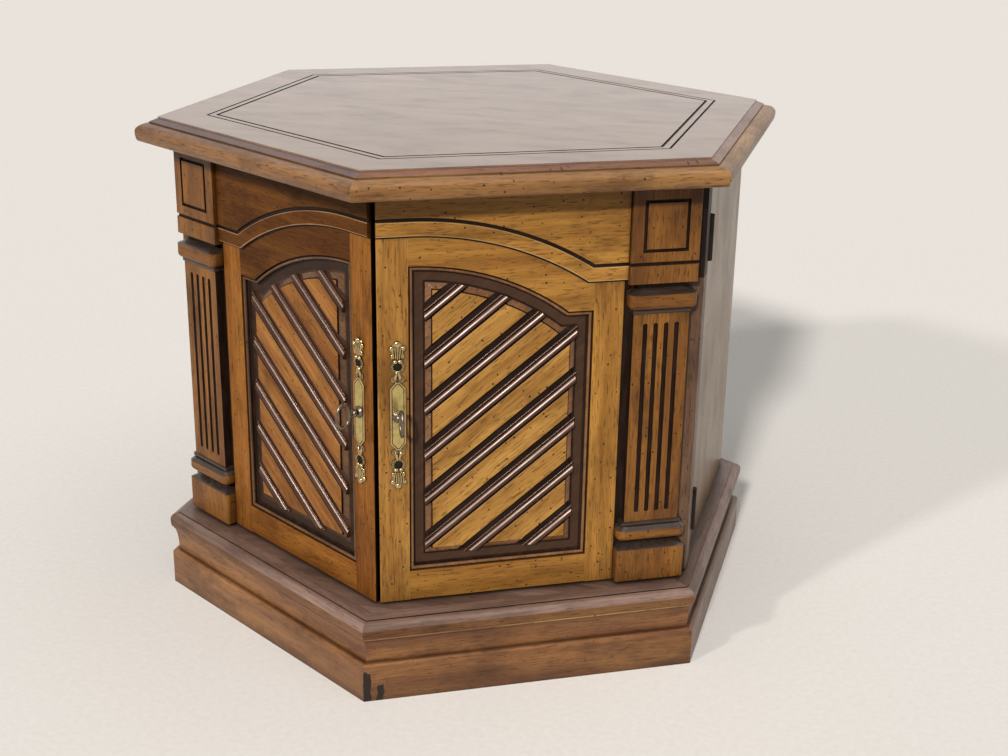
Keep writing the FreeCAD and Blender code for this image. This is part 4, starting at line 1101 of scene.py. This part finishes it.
def carved_panel(side):
    """Raised arched field, cut by sloping grooves with a round reed in each."""
    size = sizes()
    along, across = slope_axes()
    floor, field, groove_floor = panel_levels()
    foot, _ = panel_insets()
    corner = Vector((OPENING_LEFT + foot, 0, ARCH_CROWN - foot))
    first = (corner - UP * size.first_reed_drop).dot(across)
    reeds = [first - number * size.reed_pitch for number in range(size.reed_count)]
    groove_lows = [reed - size.reed_radius - size.reed_quirk for reed in reeds]
    groove_highs = [low + size.reed_groove_width for low in groove_lows]
    bm = bmesh.new()
    face_board(bm, opening(GLUE_GAP), PANEL_BACK, floor)
    paint(bm.faces, MARGIN)
    for bed in panel_beds():
        paint(bed.faces, GROOVE)
        add_mesh(bm, bed)
    for upper, lower in zip([None] + groove_lows, groove_highs + [None]):
        for board in panel_plank(upper, lower):
            add_mesh(bm, board)
    for reed in reeds:
        bead = reed + size.reed_radius + size.bead_radius
        for middle, section in ((reed, reed_section(reed, field - size.reed_drop)),
                                (bead, bead_section(bead, groove_floor + size.bead_rise))):
            bar = panel_bar(middle, section, floor - SEAT, foot)
            bmesh.ops.recalc_face_normals(bar, faces=bar.faces)
            # Painted shade: each reed's downward-facing side takes the dark groove stain instead of the
            # lacquer
            for face in bar.faces:
                face.material_index = GROOVE if face.normal.dot(across) < -0.1 else REED
            add_mesh(bm, bar)
    finishes = [wood(f"plank_wood_{side}"), stain(PANEL_GROOVES[side]), stain(f"recess_stain_{side}"),
                stain(f"reed_lacquer_{side}"), wood(f"bevel_wood_{side}"), wood(f"rubbed_edge_{side}"),
                stain("groove_stain")]
    door_piece(bm, side, "reeded_panel", "carved_panel", finishes, along, across)


def panel_beds():
    """Stained bed that shows in the grooves, kept under the bevel, and the line round the field's foot."""
    size = sizes()
    floor, field, groove_floor = panel_levels()
    foot, _ = panel_insets()
    bevel_foot = floor - SEAT
    bevel_head = field - size.bevel_drop
    shallow = foot + size.panel_bevel * (groove_floor - bevel_foot) / (bevel_head - bevel_foot)
    line_rise = 0.3 * MM
    line_foot = foot - size.bed_line
    line_head = foot - size.bed_line * 0.8
    return (raised_field(foot + SEAT, floor - 2 * SEAT, shallow + SEAT, groove_floor),
            raised_field(line_foot, floor - 2 * SEAT, line_head, floor + line_rise))


def panel_plank(upper, lower):
    """One plank of the field and the bevel round it, between the grooves above and below it, given by their
    near edges. The first plank has no groove above it and the last none below."""
    size = sizes()
    across = slope_axes()[1]
    floor, field, _ = panel_levels()
    foot, head = panel_insets()
    inner = head + size.bevel_line
    plank = raised_field(inner, floor - SEAT, inner, field)
    bevel = raised_field(foot, floor - SEAT, head, field - size.bevel_drop)
    plank.normal_update()
    bevel.normal_update()
    paint([face for face in plank.faces if abs(face.normal.y) < 0.5], LINE)
    for face in bevel.faces:
        face.material_index = BEVEL if abs(face.normal.y) < 0.95 else LINE
    slope = OUT * size.reed_slope_width - across * size.reed_groove_depth
    for board, back in ((plank, 0.0), (bevel, size.bevel_line)):
        if upper is not None:
            paint(trim(board, across * (upper - back), across), GROOVE)
        if lower is not None:
            paint(trim(board, across * (lower + back) + OUT * field, slope), GROOVE)

    def face_edges(rubbed):
        """Edges round the plank's face: the one beside the reed, or the others."""
        return [edge for edge in edges_where(plank, lambda co: near(co.y, -field))
                if (upper is not None and beside(edge, across, upper)) == rubbed]

    # The plank's edge beside the reed is rubbed and painted lighter as a highlight; its other edges are only
    # rounded
    soften(plank, face_edges(False), size.arris)
    paint(soften(plank, face_edges(True), size.plank_edge), HIGHLIT_EDGE)
    return plank, bevel


def beside(edge, across, level):
    """Whether an edge runs along the reeds at a level square to them."""
    tolerance = 0.01 * MM
    return all(abs(vert.co.dot(across) - level) < tolerance for vert in edge.verts)


def reed_section(middle, crown):
    """Section of a reed, (place across, apothem) from its lower to its upper side: a round lower side, a
    broad face that looks up, and a round upper side."""
    size = sizes()
    # Turns in degrees at the start and the end of each curve, its radius and its steps
    spans = ((-90, 15, size.reed_round, 6), (15, 55, size.reed_face, 8), (55, 90, size.reed_back, 3))
    place, apothem = middle - size.reed_radius, crown - size.reed_round
    section = [(place, apothem)]
    for start, end, radius, steps in spans:
        for step in range(steps):
            before = math.radians(start + (end - start) * step / steps)
            after = math.radians(start + (end - start) * (step + 1) / steps)
            place += radius * (math.sin(after) - math.sin(before))
            apothem += radius * (math.cos(after) - math.cos(before))
            section.append((place, apothem))
    return section


def bead_section(middle, crown):
    """Half-round section of the small bead above a reed."""
    radius = sizes().bead_radius
    steps = 8
    turns = [math.pi * step / steps for step in range(steps + 1)]
    return [(middle - radius * math.cos(turn), crown - radius + radius * math.sin(turn)) for turn in turns]


def panel_bar(middle, section, foot_level, foot):
    """Moulded bar across the panel, cut off where its middle crosses the foot of the raised field."""
    along, across = slope_axes()
    reach = 500 * MM
    closed = [(section[0][0], foot_level)] + section + [(section[-1][0], foot_level)]
    bm = bmesh.new()
    outline = [across * place + OUT * apothem - along * reach for place, apothem in closed]
    extruded(bm, outline, along * 2 * reach)
    border = opening_ring(foot, 0.0)
    for start, end in zip(border, border[1:] + border[:1]):
        before = start.dot(across) - middle
        after = end.dot(across) - middle
        if (before < 0) != (after < 0):
            run = end - start
            trim(bm, start.lerp(end, before / (before - after)), Vector((run.z, 0, -run.x)).normalized())
    return bm


# Pilaster

def fluted_shaft(side):
    """Shaft with round-ended flutes, sunk by the depth of a half-round at each place, its side toward the
    panel painted near-black as shade.
    """
    size = sizes()
    low, high = SHAFT_LOW, SHAFT_HIGH
    bm = bmesh.new()
    face_board(bm, rectangle(low.x, high.x, low.z, high.z), POST_FACE, -low.y)
    half = size.flute_width / 2
    first = PILASTER - (size.flute_count - 1) * size.flute_pitch / 2
    centres = [first + number * size.flute_pitch for number in range(size.flute_count)]
    low_end = low.z + size.flute_margin + half
    high_end = high.z - size.flute_margin - half
    steps = 5
    stations = [math.sin(math.pi / 2 * step / steps) for step in range(-steps, steps + 1)]
    for centre in centres:
        for station in stations:
            score(bm, (centre + station * half, 0, 0), ALONG)
    for station in stations[steps:]:
        score(bm, (0, 0, low_end - station * half), UP)
        score(bm, (0, 0, high_end + station * half), UP)
    for vert in bm.verts:
        if near(vert.co.y, low.y):
            beyond = max(0.0, low_end - vert.co.z, vert.co.z - high_end)
            away = min(math.hypot(vert.co.x - centre, beyond) for centre in centres) / half
            if away < 1:
                vert.co.y += size.flute_depth * math.sqrt(1 - away * away)
    # Stain in the flutes, and painted shade on the shaft's side toward the panel
    for face in bm.faces:
        middle = face.calc_center_median()
        within = low.x + MM < middle.x < high.x - MM and low.z + MM < middle.z < high.z - MM
        sunk = low.y + 0.1 * MM < middle.y < low.y + size.flute_depth
        if within and sunk or near(middle.x, low.x):
            face.material_index = STAIN_AND_SHADE
    door_piece(bm, side, "fluted_pilaster", "fluted_shaft",
               [wood("pilaster_wood"), stain("groove_stain")], UP, ALONG)


def showing(bm, level):
    """Edges of a pilaster member at a level, other than along the face glued to the post."""
    return [edge for edge in edges_where(bm, lambda co: near(co.z, level))
            if not all(near(vert.co.y, -POST_FACE) for vert in edge.verts)]


def slope_top(bm, low, high, level, rise, run):
    """Slope a pilaster member's top back from its front and sides."""
    soften(bm, showing(bm, level), rise, 1)
    further = run - rise
    for vert in bm.verts:
        if near(vert.co.z, level):
            if near(vert.co.y, low.y + rise):
                vert.co.y += further
            if near(vert.co.x, low.x + rise):
                vert.co.x += further
            if near(vert.co.x, high.x - rise):
                vert.co.x -= further


def stain_slope(bm, level, rise):
    """Stain the sloping top of a pilaster member."""
    bmesh.ops.recalc_face_normals(bm, faces=bm.faces)
    paint([face for face in bm.faces
           if face.calc_center_median().z > level - 1.5 * rise and face.normal.z > 0.5], EXTRA)


def front_corners(bm, low, high):
    """Upright front edges of a pilaster member, and the hips of its sloping top."""
    def diagonal(co):
        inward = min(co.x - low.x, high.x - co.x)
        return near(inward, co.y - low.y)
    half = (high.x - low.x) / 2
    return [edge for edge in edges_where(bm, diagonal) if abs(edge.verts[0].co.x - edge.verts[1].co.x) < half]


def rounded_member(low, high, neck, band, fillet, slope):
    """Wide rounded member with a sloping top, between a recessed neck painted near-black as shade and a
    beaded fillet.
    Neck, band and fillet are given by their lower and upper heights, and the slope by its rise and run."""
    size = sizes()
    bm = bmesh.new()
    face_board(bm, rectangle(low.x, high.x, *band), POST_FACE, -low.y)
    slope_top(bm, low, high, band[1], *slope)
    soften(bm, front_corners(bm, low, high), size.member_corner, 4)
    soften(bm, showing(bm, band[0]), size.member_round, 4)
    soften(bm, showing(bm, band[1] - slope[0]), size.member_round / 2, 3)
    stain_slope(bm, band[1], slope[0])
    # Painted shade: the recessed neck is near-black
    strips = ((neck, size.neck_set_in, size.neck_set_back, size.arris, STAIN_AND_SHADE),
              (fillet, size.fillet_set_in, size.fillet_set_back, size.fillet_round, EXTRA))
    for levels, inset, setback, arris, material in strips:
        add_board(bm, rectangle(low.x + inset, high.x - inset, *levels), POST_FACE, -low.y - setback, arris,
                  material)
    return bm


def member_finishes():
    return [wood("pilaster_wood"), stain("groove_stain"), stain("slope_stain")]


def capital(side):
    size = sizes()
    fillet_top = CAPITAL_LOW.z + size.fillet_height
    neck_foot = CAPITAL_HIGH.z - size.capital_neck
    bm = rounded_member(CAPITAL_LOW, CAPITAL_HIGH, (neck_foot, CAPITAL_HIGH.z), (fillet_top, neck_foot),
                        (CAPITAL_LOW.z, fillet_top), (size.capital_slope_rise, size.capital_slope_run))
    door_piece(bm, side, "capital", "pilaster_capital", member_finishes())


def base_moulding(side):
    size = sizes()
    neck_top = BASE_LOW.z + size.base_neck
    fillet_foot = BASE_HIGH.z - size.fillet_height
    bm = rounded_member(BASE_LOW, BASE_HIGH, (BASE_LOW.z, neck_top), (neck_top, fillet_foot),
                        (fillet_foot, BASE_HIGH.z), (size.base_slope, size.base_slope))
    door_piece(bm, side, "base_moulding", "pilaster_base", member_finishes())


def plinth_block(side):
    size = sizes()
    low, high = PLINTH_LOW, PLINTH_HIGH
    bm = bmesh.new()
    face_board(bm, rectangle(low.x, high.x, low.z, high.z), POST_FACE, -low.y)
    slope_top(bm, low, high, high.z, size.plinth_slope_rise, size.plinth_slope_run)
    soften(bm, front_corners(bm, low, high), size.plinth_corner, 4)
    soften(bm, showing(bm, low.z), size.arris * 2, 3)
    stain_slope(bm, high.z, size.plinth_slope_rise)
    door_piece(bm, side, "plinth_foot", "plinth_block", member_finishes(), UP, ALONG)


def pilaster_block(side):
    """Block with an incised square over a level groove."""
    size = sizes()
    left, right, front = BLOCK_LOW.x, BLOCK_HIGH.x, -BLOCK_LOW.y
    groove_middle = DOOR_HIGH - size.frieze_crown - size.frieze_drop
    groove_low = groove_middle - size.block_groove / 2
    groove_high = groove_middle + size.block_groove / 2
    bm = bmesh.new()
    face_board(bm, rectangle(left, right, groove_high, DOOR_HIGH), POST_FACE, front, size.arris)
    half = size.square_width / 2
    square_high = DOOR_HIGH - size.square_from_top
    square_low = square_high - size.square_height
    for line in (PILASTER - half, PILASTER + half):
        score(bm, (line, 0, 0), ALONG)
    for level in (square_low, square_high):
        score(bm, (0, 0, level), UP)
    bmesh.ops.recalc_face_normals(bm, faces=bm.faces)
    middle = Vector((PILASTER, -front, (square_low + square_high) / 2))
    square = min(bm.faces, key=lambda each: (each.calc_center_median() - middle).length)
    cut_line(bm, square, 0.0, size.block_groove, size.block_groove_depth)
    add_board(bm, rectangle(left, right, BLOCK_LOW.z, groove_low), POST_FACE, front, size.arris)
    add_board(bm, rectangle(left, right, groove_low, groove_high), POST_FACE, front - size.block_groove_depth,
              material=STAIN_AND_SHADE)
    door_piece(bm, side, "square_block", "pilaster_block",
               [wood("pilaster_wood"), stain("groove_stain")], UP, ALONG)


# Brass, with its small sizes in millimetres

# Swellings of a key plate's end: place across, along and proud, half sizes across, deep and high, and lean.
# The leaves and pearls are on both hands, and the shell and its tip in the middle
PLATE_LEAVES = (
    (1.6, 6.0, 0.0, 1.5, 1.4, 4.6, -0.25),
    (2.4, 19.4, 0.8, 2.3, 1.8, 2.1, 0.0),
    (4.9, 24.2, 0.0, 1.6, 1.4, 2.6, 0.0),
    (5.3, 31.6, 0.3, 2.3, 1.6, 2.7, 0.5),
)
PLATE_SHELL = (
    (0.0, 29.0, -0.4, 5.8, 1.4, 8.8, 0.0),
    (0.0, 35.6, 0.5, 2.9, 1.7, 3.0, 0.0),
)
# Middle of the ring of a key plate's end, along the plate
PLATE_RING = 14.4
# Stations of a key pull's collar: distance from the plate and radius
COLLAR = ((0.0, 0.0), (0.0, 5.6), (0.8, 5.6), (1.4, 4.9), (2.0, 4.7), (2.6, 3.9), (3.0, 2.2))


def curl(bm, centre, radius, wire, squash=1.0):
    """Ring of round wire on the door's face."""
    ring = bmesh.new()
    bmesh.ops.create_circle(ring, cap_ends=False, radius=wire * MM, segments=8)
    bmesh.ops.translate(ring, verts=ring.verts, vec=(radius * MM, 0, 0))
    upright = Matrix.Rotation(math.pi / 2, 3, "X")
    bmesh.ops.rotate(ring, verts=ring.verts, cent=(0, 0, 0), matrix=upright)
    spin_round(ring, (0, 0, 0), OUT, 20)
    bmesh.ops.scale(ring, verts=ring.verts, vec=(1, 1, squash))
    bmesh.ops.translate(ring, verts=ring.verts, vec=centre)
    add_mesh(bm, ring)


def lobe(bm, centre, across, deep, high, lean=0.0):
    """Small swelling of the cast ornament."""
    form = bmesh.new()
    bmesh.ops.create_uvsphere(form, u_segments=12, v_segments=8, radius=1.0)
    bmesh.ops.scale(form, verts=form.verts, vec=(across * MM, deep * MM, high * MM))
    bmesh.ops.rotate(form, verts=form.verts, cent=(0, 0, 0), matrix=Matrix.Rotation(lean, 3, "Y"))
    bmesh.ops.translate(form, verts=form.verts, vec=centre)
    add_mesh(bm, form)


def escutcheon(side):
    """Long plate with a bright panel in a dark line, and cast ornament above and below it."""
    half = 7.3 * MM
    end = 33.5 * MM
    shoulder = end - 6.5 * MM
    root = 1.6 * MM
    arris = 0.7 * MM
    rim = 0.8 * MM
    line_width = 0.6 * MM
    line_depth = 0.7 * MM
    ornament_middle = FRAME_FACE + 0.8 * MM
    corners = [(half, -shoulder), (half, shoulder), (root, end), (-root, end), (-half, shoulder),
               (-half, -shoulder), (-root, -end), (root, -end)]
    bm = bmesh.new()
    face_board(bm, [(PULL_PLACE + x, PULL_LEVEL + z) for x, z in corners], FRAME_FACE, PLATE_FACE, arris)
    bmesh.ops.recalc_face_normals(bm, faces=bm.faces)
    paint(bm.faces, EXTRA)
    panel = min(bm.faces, key=lambda each: each.calc_center_median().y)
    cut_line(bm, panel, rim, line_width, line_depth)
    panel.material_index = PLAIN
    ornament = bmesh.new()
    hollow = bmesh.new()
    for way in (1, -1):
        plate_end(ornament, Vector((PULL_PLACE, -ornament_middle, PULL_LEVEL)), way, end)
        middle = Vector((PULL_PLACE, -FRAME_FACE, PULL_LEVEL + way * (end + PLATE_RING * MM)))
        lobe(hollow, middle, across=4.6, deep=0.5, high=4.4)
    for form, material in ((ornament, EXTRA), (hollow, STAIN_AND_SHADE)):
        paint(form.faces, material)
        add_mesh(bm, form)
    door_piece(bm, side, "key_plate", "escutcheon_plate",
               [metal("polished_brass"), metal("plate_tarnish"), metal("ornament_brass")])


def plate_end(bm, middle, way, end):
    """Cast ornament at one end of a key plate: scrolls, ring, two pearls and a ribbed shell."""
    def spot(across, along, proud=0.0):
        return middle + Vector((across * MM, -proud * MM, way * (end + along * MM)))

    for hand, leaves in ((1, PLATE_LEAVES), (-1, PLATE_LEAVES), (1, PLATE_SHELL)):
        for across, along, proud, wide, deep, high, lean in leaves:
            lobe(bm, spot(hand * across, along, proud), wide, deep, high, hand * way * lean)
    for rib in range(-2, 3):
        shorter = abs(rib)
        place = spot(rib * 2.1, 28.4 - shorter * 0.5, 0.5)
        lobe(bm, place, across=1.0, deep=1.6, high=8.4 - shorter, lean=way * rib * 0.09)
    for hand in (1, -1):
        curl(bm, spot(hand * 3.5, 2.2), radius=1.8, wire=1.25)
    curl(bm, spot(0.0, PLATE_RING, 0.4), radius=5.4, wire=1.3, squash=0.95)


def key_pull(side):
    """Pull shaped like a key: domed collar, bead and oval bow."""
    wire = 1.6 * MM
    neck = 2.0 * MM
    neck_start = 0.2 * MM
    bead_reach = 2.5 * MM
    bead_core = 1.2 * MM
    bead_swell = 2.7 * MM
    bow_depth = 18 * MM
    bow_flatness = 0.9
    steps_per_quarter = 4.6
    bow_height = PULL_HIGH.z - PULL_LOW.z
    bow_middle = -PULL_LOW.y - bow_depth / 2
    stem = bow_middle - bow_depth / 2 - PLATE_FACE
    shoulder = COLLAR[-2][0] * MM
    bead = (shoulder + stem) / 2
    profile = [(run * MM, radius * MM) for run, radius in COLLAR]
    for step in range(-4, 5):
        turn = math.pi / 2 * step / steps_per_quarter
        profile.append((bead + bead_reach * math.sin(turn), bead_core + bead_swell * math.cos(turn)))
    profile += [(stem + neck_start, neck), (stem + wire, neck), (stem + wire, 0.0)]
    foot = Vector((PULL_PLACE, -PLATE_FACE, PULL_LEVEL))
    away = OUT.orthogonal().normalized()
    bm = bmesh.new()
    verts = [bm.verts.new(foot + OUT * run + away * radius) for run, radius in profile]
    for pair in zip(verts, verts[1:]):
        bm.edges.new(pair)
    spin_round(bm, foot, OUT, 24)
    bow = bmesh.new()
    bmesh.ops.create_circle(bow, cap_ends=False, radius=1.0, segments=12)
    bmesh.ops.scale(bow, verts=bow.verts, vec=(wire, wire * bow_flatness, 1))
    bmesh.ops.translate(bow, verts=bow.verts, vec=(0, wire - bow_depth / 2, 0))
    spin_round(bow, (0, 0, 0), ALONG, 36)
    bmesh.ops.scale(bow, verts=bow.verts, vec=(1, 1, bow_height / bow_depth))
    bmesh.ops.translate(bow, verts=bow.verts, vec=(PULL_PLACE, -bow_middle, PULL_LEVEL))
    add_mesh(bm, bow)
    door_piece(bm, side, "pull", "key_pull", [metal("pull_brass")])


def dress(node, material):
    """Give a frame node its finish."""
    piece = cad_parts[node]
    if not piece.material_slots:
        piece.data.materials.append(material)
    for slot in piece.material_slots:
        slot.material = material


# Stage

def seen_rays(tree, glossy):
    """One for rays from the camera, and a value for mirrored ones."""
    path = add(tree, "ShaderNodeLightPath").outputs
    seen = maths(tree, "MAXIMUM", path["Is Camera Ray"], path["Is Transmission Ray"])
    return maths(tree, "MAXIMUM", seen, maths(tree, "MULTIPLY", path["Is Glossy Ray"], glossy))


def floor_nodes(tree, shader):
    """Plain pale floor with a faint unevenness, which throws little light back on the object."""
    pile = noise(tree, object_place(tree), 3 * (160.0,), 3.0)["Fac"]
    tone = blend(tree, 1.0, tint("floor"), spread(tree, pile, 0.3, 0.7, 0.97, 1.03), "MULTIPLY")
    tone = blend(tree, seen_rays(tree, 1.0), tint("floor", 0.5), tone)
    tree.links.new(tone, shader.inputs["Base Color"])
    shader.inputs["Roughness"].default_value = 0.9


def floor_plane():
    half_width = 9.0
    bm = bmesh.new()
    bmesh.ops.create_grid(bm, x_segments=1, y_segments=1, size=half_width)
    mesh = bpy.data.meshes.new("floor")
    bm.to_mesh(mesh)
    bm.free()
    mesh.materials.append(finish("floor_pile", floor_nodes))
    ground = bpy.data.objects.new("floor", mesh)
    bpy.context.scene.collection.objects.link(ground)


def surroundings():
    """Pale room that gives little light itself and is mirrored more brightly from behind."""
    world = bpy.data.worlds.new("studio")
    world.use_nodes = True
    tree = world.node_tree
    background = tree.nodes["Background"]
    way = add(tree, "ShaderNodeTexCoord").outputs["Generated"]
    depth = add(tree, "ShaderNodeSeparateXYZ", {0: way}).outputs["Y"]
    mirrored = spread(tree, depth, -0.6, 0.5, 0.28, 1.46)
    ambient = 0.15
    strength = maths(tree, "MAXIMUM", seen_rays(tree, mirrored), ambient)
    tree.links.new(strength, background.inputs["Strength"])
    background.inputs["Color"].default_value = tint("backdrop")
    bpy.context.scene.world = world


def sun_lamp(name, azimuth, elevation, energy, softness, shade):
    """Distant lamp, placed by its azimuth from the front, its elevation and its softness, in degrees."""
    turn = math.radians(azimuth)
    rise = math.radians(elevation)
    way = Vector((math.cos(rise) * math.sin(turn), -math.cos(rise) * math.cos(turn), math.sin(rise)))
    sun = bpy.data.lights.new(name, "SUN")
    sun.energy = energy
    sun.angle = math.radians(softness)
    sun.color = shade
    lamp = bpy.data.objects.new(name, sun)
    lamp.rotation_euler = way.to_track_quat("Z", "Y").to_euler()
    bpy.context.scene.collection.objects.link(lamp)


def lamps():
    sun_lamp("key", azimuth=0, elevation=31, energy=2.75, softness=5, shade=(1.0, 0.96, 0.91))
    sun_lamp("fill", azimuth=-31, elevation=30, energy=0.95, softness=4, shade=(1.0, 0.95, 0.90))
    sun_lamp("ceiling", azimuth=60, elevation=76, energy=1.0, softness=60, shade=(1.0, 0.97, 0.93))


def camera():
    place = Vector((456.4, -1472.5, 784.5)) * MM
    target = Vector((39.8, 0.0, 216.6)) * MM
    roll = math.radians(0.957)
    data = bpy.data.cameras.new("camera")
    data.lens = 53.66
    data.sensor_width = 36.0
    eye = bpy.data.objects.new("camera", data)
    turn = (target - place).to_track_quat("-Z", "Y").to_matrix() @ Matrix.Rotation(roll, 3, "Z")
    eye.matrix_world = Matrix.Translation(place) @ turn.to_4x4()
    bpy.context.scene.collection.objects.link(eye)
    bpy.context.scene.camera = eye


# Operators

class CABINET_OT_top(bpy.types.Operator):
    """Build the top board and its edge mouldings"""
    bl_idname = "cabinet.top"
    bl_label = "Top"

    def execute(self, context):
        top_board()
        top_edges()
        return {"FINISHED"}


class CABINET_OT_base(bpy.types.Operator):
    """Build the ledge, the base rails and the bottom board"""
    bl_idname = "cabinet.base"
    bl_label = "Base"

    def execute(self, context):
        ledge()
        base_rails()
        deck_board()
        return {"FINISHED"}


class CABINET_OT_walls(bpy.types.Operator):
    """Build the side and back panels and the blocks inside their corners"""
    bl_idname = "cabinet.walls"
    bl_label = "Walls"

    def execute(self, context):
        wall_boards()
        corner_blocks()
        return {"FINISHED"}


class CABINET_OT_door_frames(bpy.types.Operator):
    """Build stiles, rails and friezes of both doors"""
    bl_idname = "cabinet.door_frames"
    bl_label = "Door frames"

    def execute(self, context):
        for side in DOORS:
            for build in (meeting_stile, outer_stile, bottom_rail, top_rail, frieze_board):
                build(side)
        return {"FINISHED"}


class CABINET_OT_panels(bpy.types.Operator):
    """Build the reeded panels and the mouldings round them"""
    bl_idname = "cabinet.panels"
    bl_label = "Reeded panels"

    def execute(self, context):
        for side in DOORS:
            panel_moulding(side)
            carved_panel(side)
        return {"FINISHED"}


class CABINET_OT_pilasters(bpy.types.Operator):
    """Build the fluted pilasters with their blocks and mouldings"""
    bl_idname = "cabinet.pilasters"
    bl_label = "Pilasters"

    def execute(self, context):
        for side in DOORS:
            for build in (fluted_shaft, capital, base_moulding, plinth_block, pilaster_block):
                build(side)
        return {"FINISHED"}


class CABINET_OT_brass(bpy.types.Operator):
    """Build the key plates and the key-shaped pulls"""
    bl_idname = "cabinet.brass"
    bl_label = "Key plates and pulls"

    def execute(self, context):
        for side in DOORS:
            escutcheon(side)
            key_pull(side)
        return {"FINISHED"}


class CABINET_OT_hinges(bpy.types.Operator):
    """Finish the hinges, the catch and the strike plates"""
    bl_idname = "cabinet.hinges"
    bl_label = "Hinges and catch"

    def execute(self, context):
        for node in ("hinge_case_leaves", "hinge_pins", "right_hinge_leaves", "left_hinge_leaves"):
            dress(node, metal("dark_bronze"))
        for node in ("door_catch", "right_strike_plate", "left_strike_plate"):
            dress(node, metal("dull_steel"))
        return {"FINISHED"}


class CABINET_OT_stage(bpy.types.Operator):
    """Set the floor, the light and the camera"""
    bl_idname = "cabinet.stage"
    bl_label = "Stage"

    def execute(self, context):
        floor_plane()
        surroundings()
        lamps()
        camera()
        context.scene.view_settings.view_transform = "Standard"
        return {"FINISHED"}


OPERATORS = (CABINET_OT_top, CABINET_OT_base, CABINET_OT_walls, CABINET_OT_door_frames, CABINET_OT_panels,
             CABINET_OT_pilasters, CABINET_OT_brass, CABINET_OT_hinges, CABINET_OT_stage)


class CABINET_PT_pieces(bpy.types.Panel):
    """Pieces of the side table cabinet"""
    bl_label = "Side table cabinet"
    bl_idname = "CABINET_PT_pieces"
    bl_space_type = "VIEW_3D"
    bl_region_type = "UI"
    bl_category = "Side Table"

    def draw(self, context):
        for operator in OPERATORS:
            self.layout.operator(operator.bl_idname)
        for group in (context.scene.cabinet_sizes, context.scene.cabinet_colours):
            column = self.layout.column()
            for name in group.bl_rna.properties.keys():
                if name not in {"rna_type", "name"}:
                    column.prop(group, name)


CLASSES = (CabinetSizes, CabinetColours, *OPERATORS, CABINET_PT_pieces)


def register():
    for cls in CLASSES:
        bpy.utils.register_class(cls)
    bpy.types.Scene.cabinet_sizes = PointerProperty(type=CabinetSizes)
    bpy.types.Scene.cabinet_colours = PointerProperty(type=CabinetColours)


def unregister():
    del bpy.types.Scene.cabinet_colours
    del bpy.types.Scene.cabinet_sizes
    for cls in reversed(CLASSES):
        bpy.utils.unregister_class(cls)


def main():
    register()
    bpy.ops.cabinet.top()
    bpy.ops.cabinet.base()
    bpy.ops.cabinet.walls()
    bpy.ops.cabinet.door_frames()
    bpy.ops.cabinet.panels()
    bpy.ops.cabinet.pilasters()
    bpy.ops.cabinet.brass()
    bpy.ops.cabinet.hinges()
    bpy.ops.cabinet.stage()


if __name__ == "__main__":
    main()
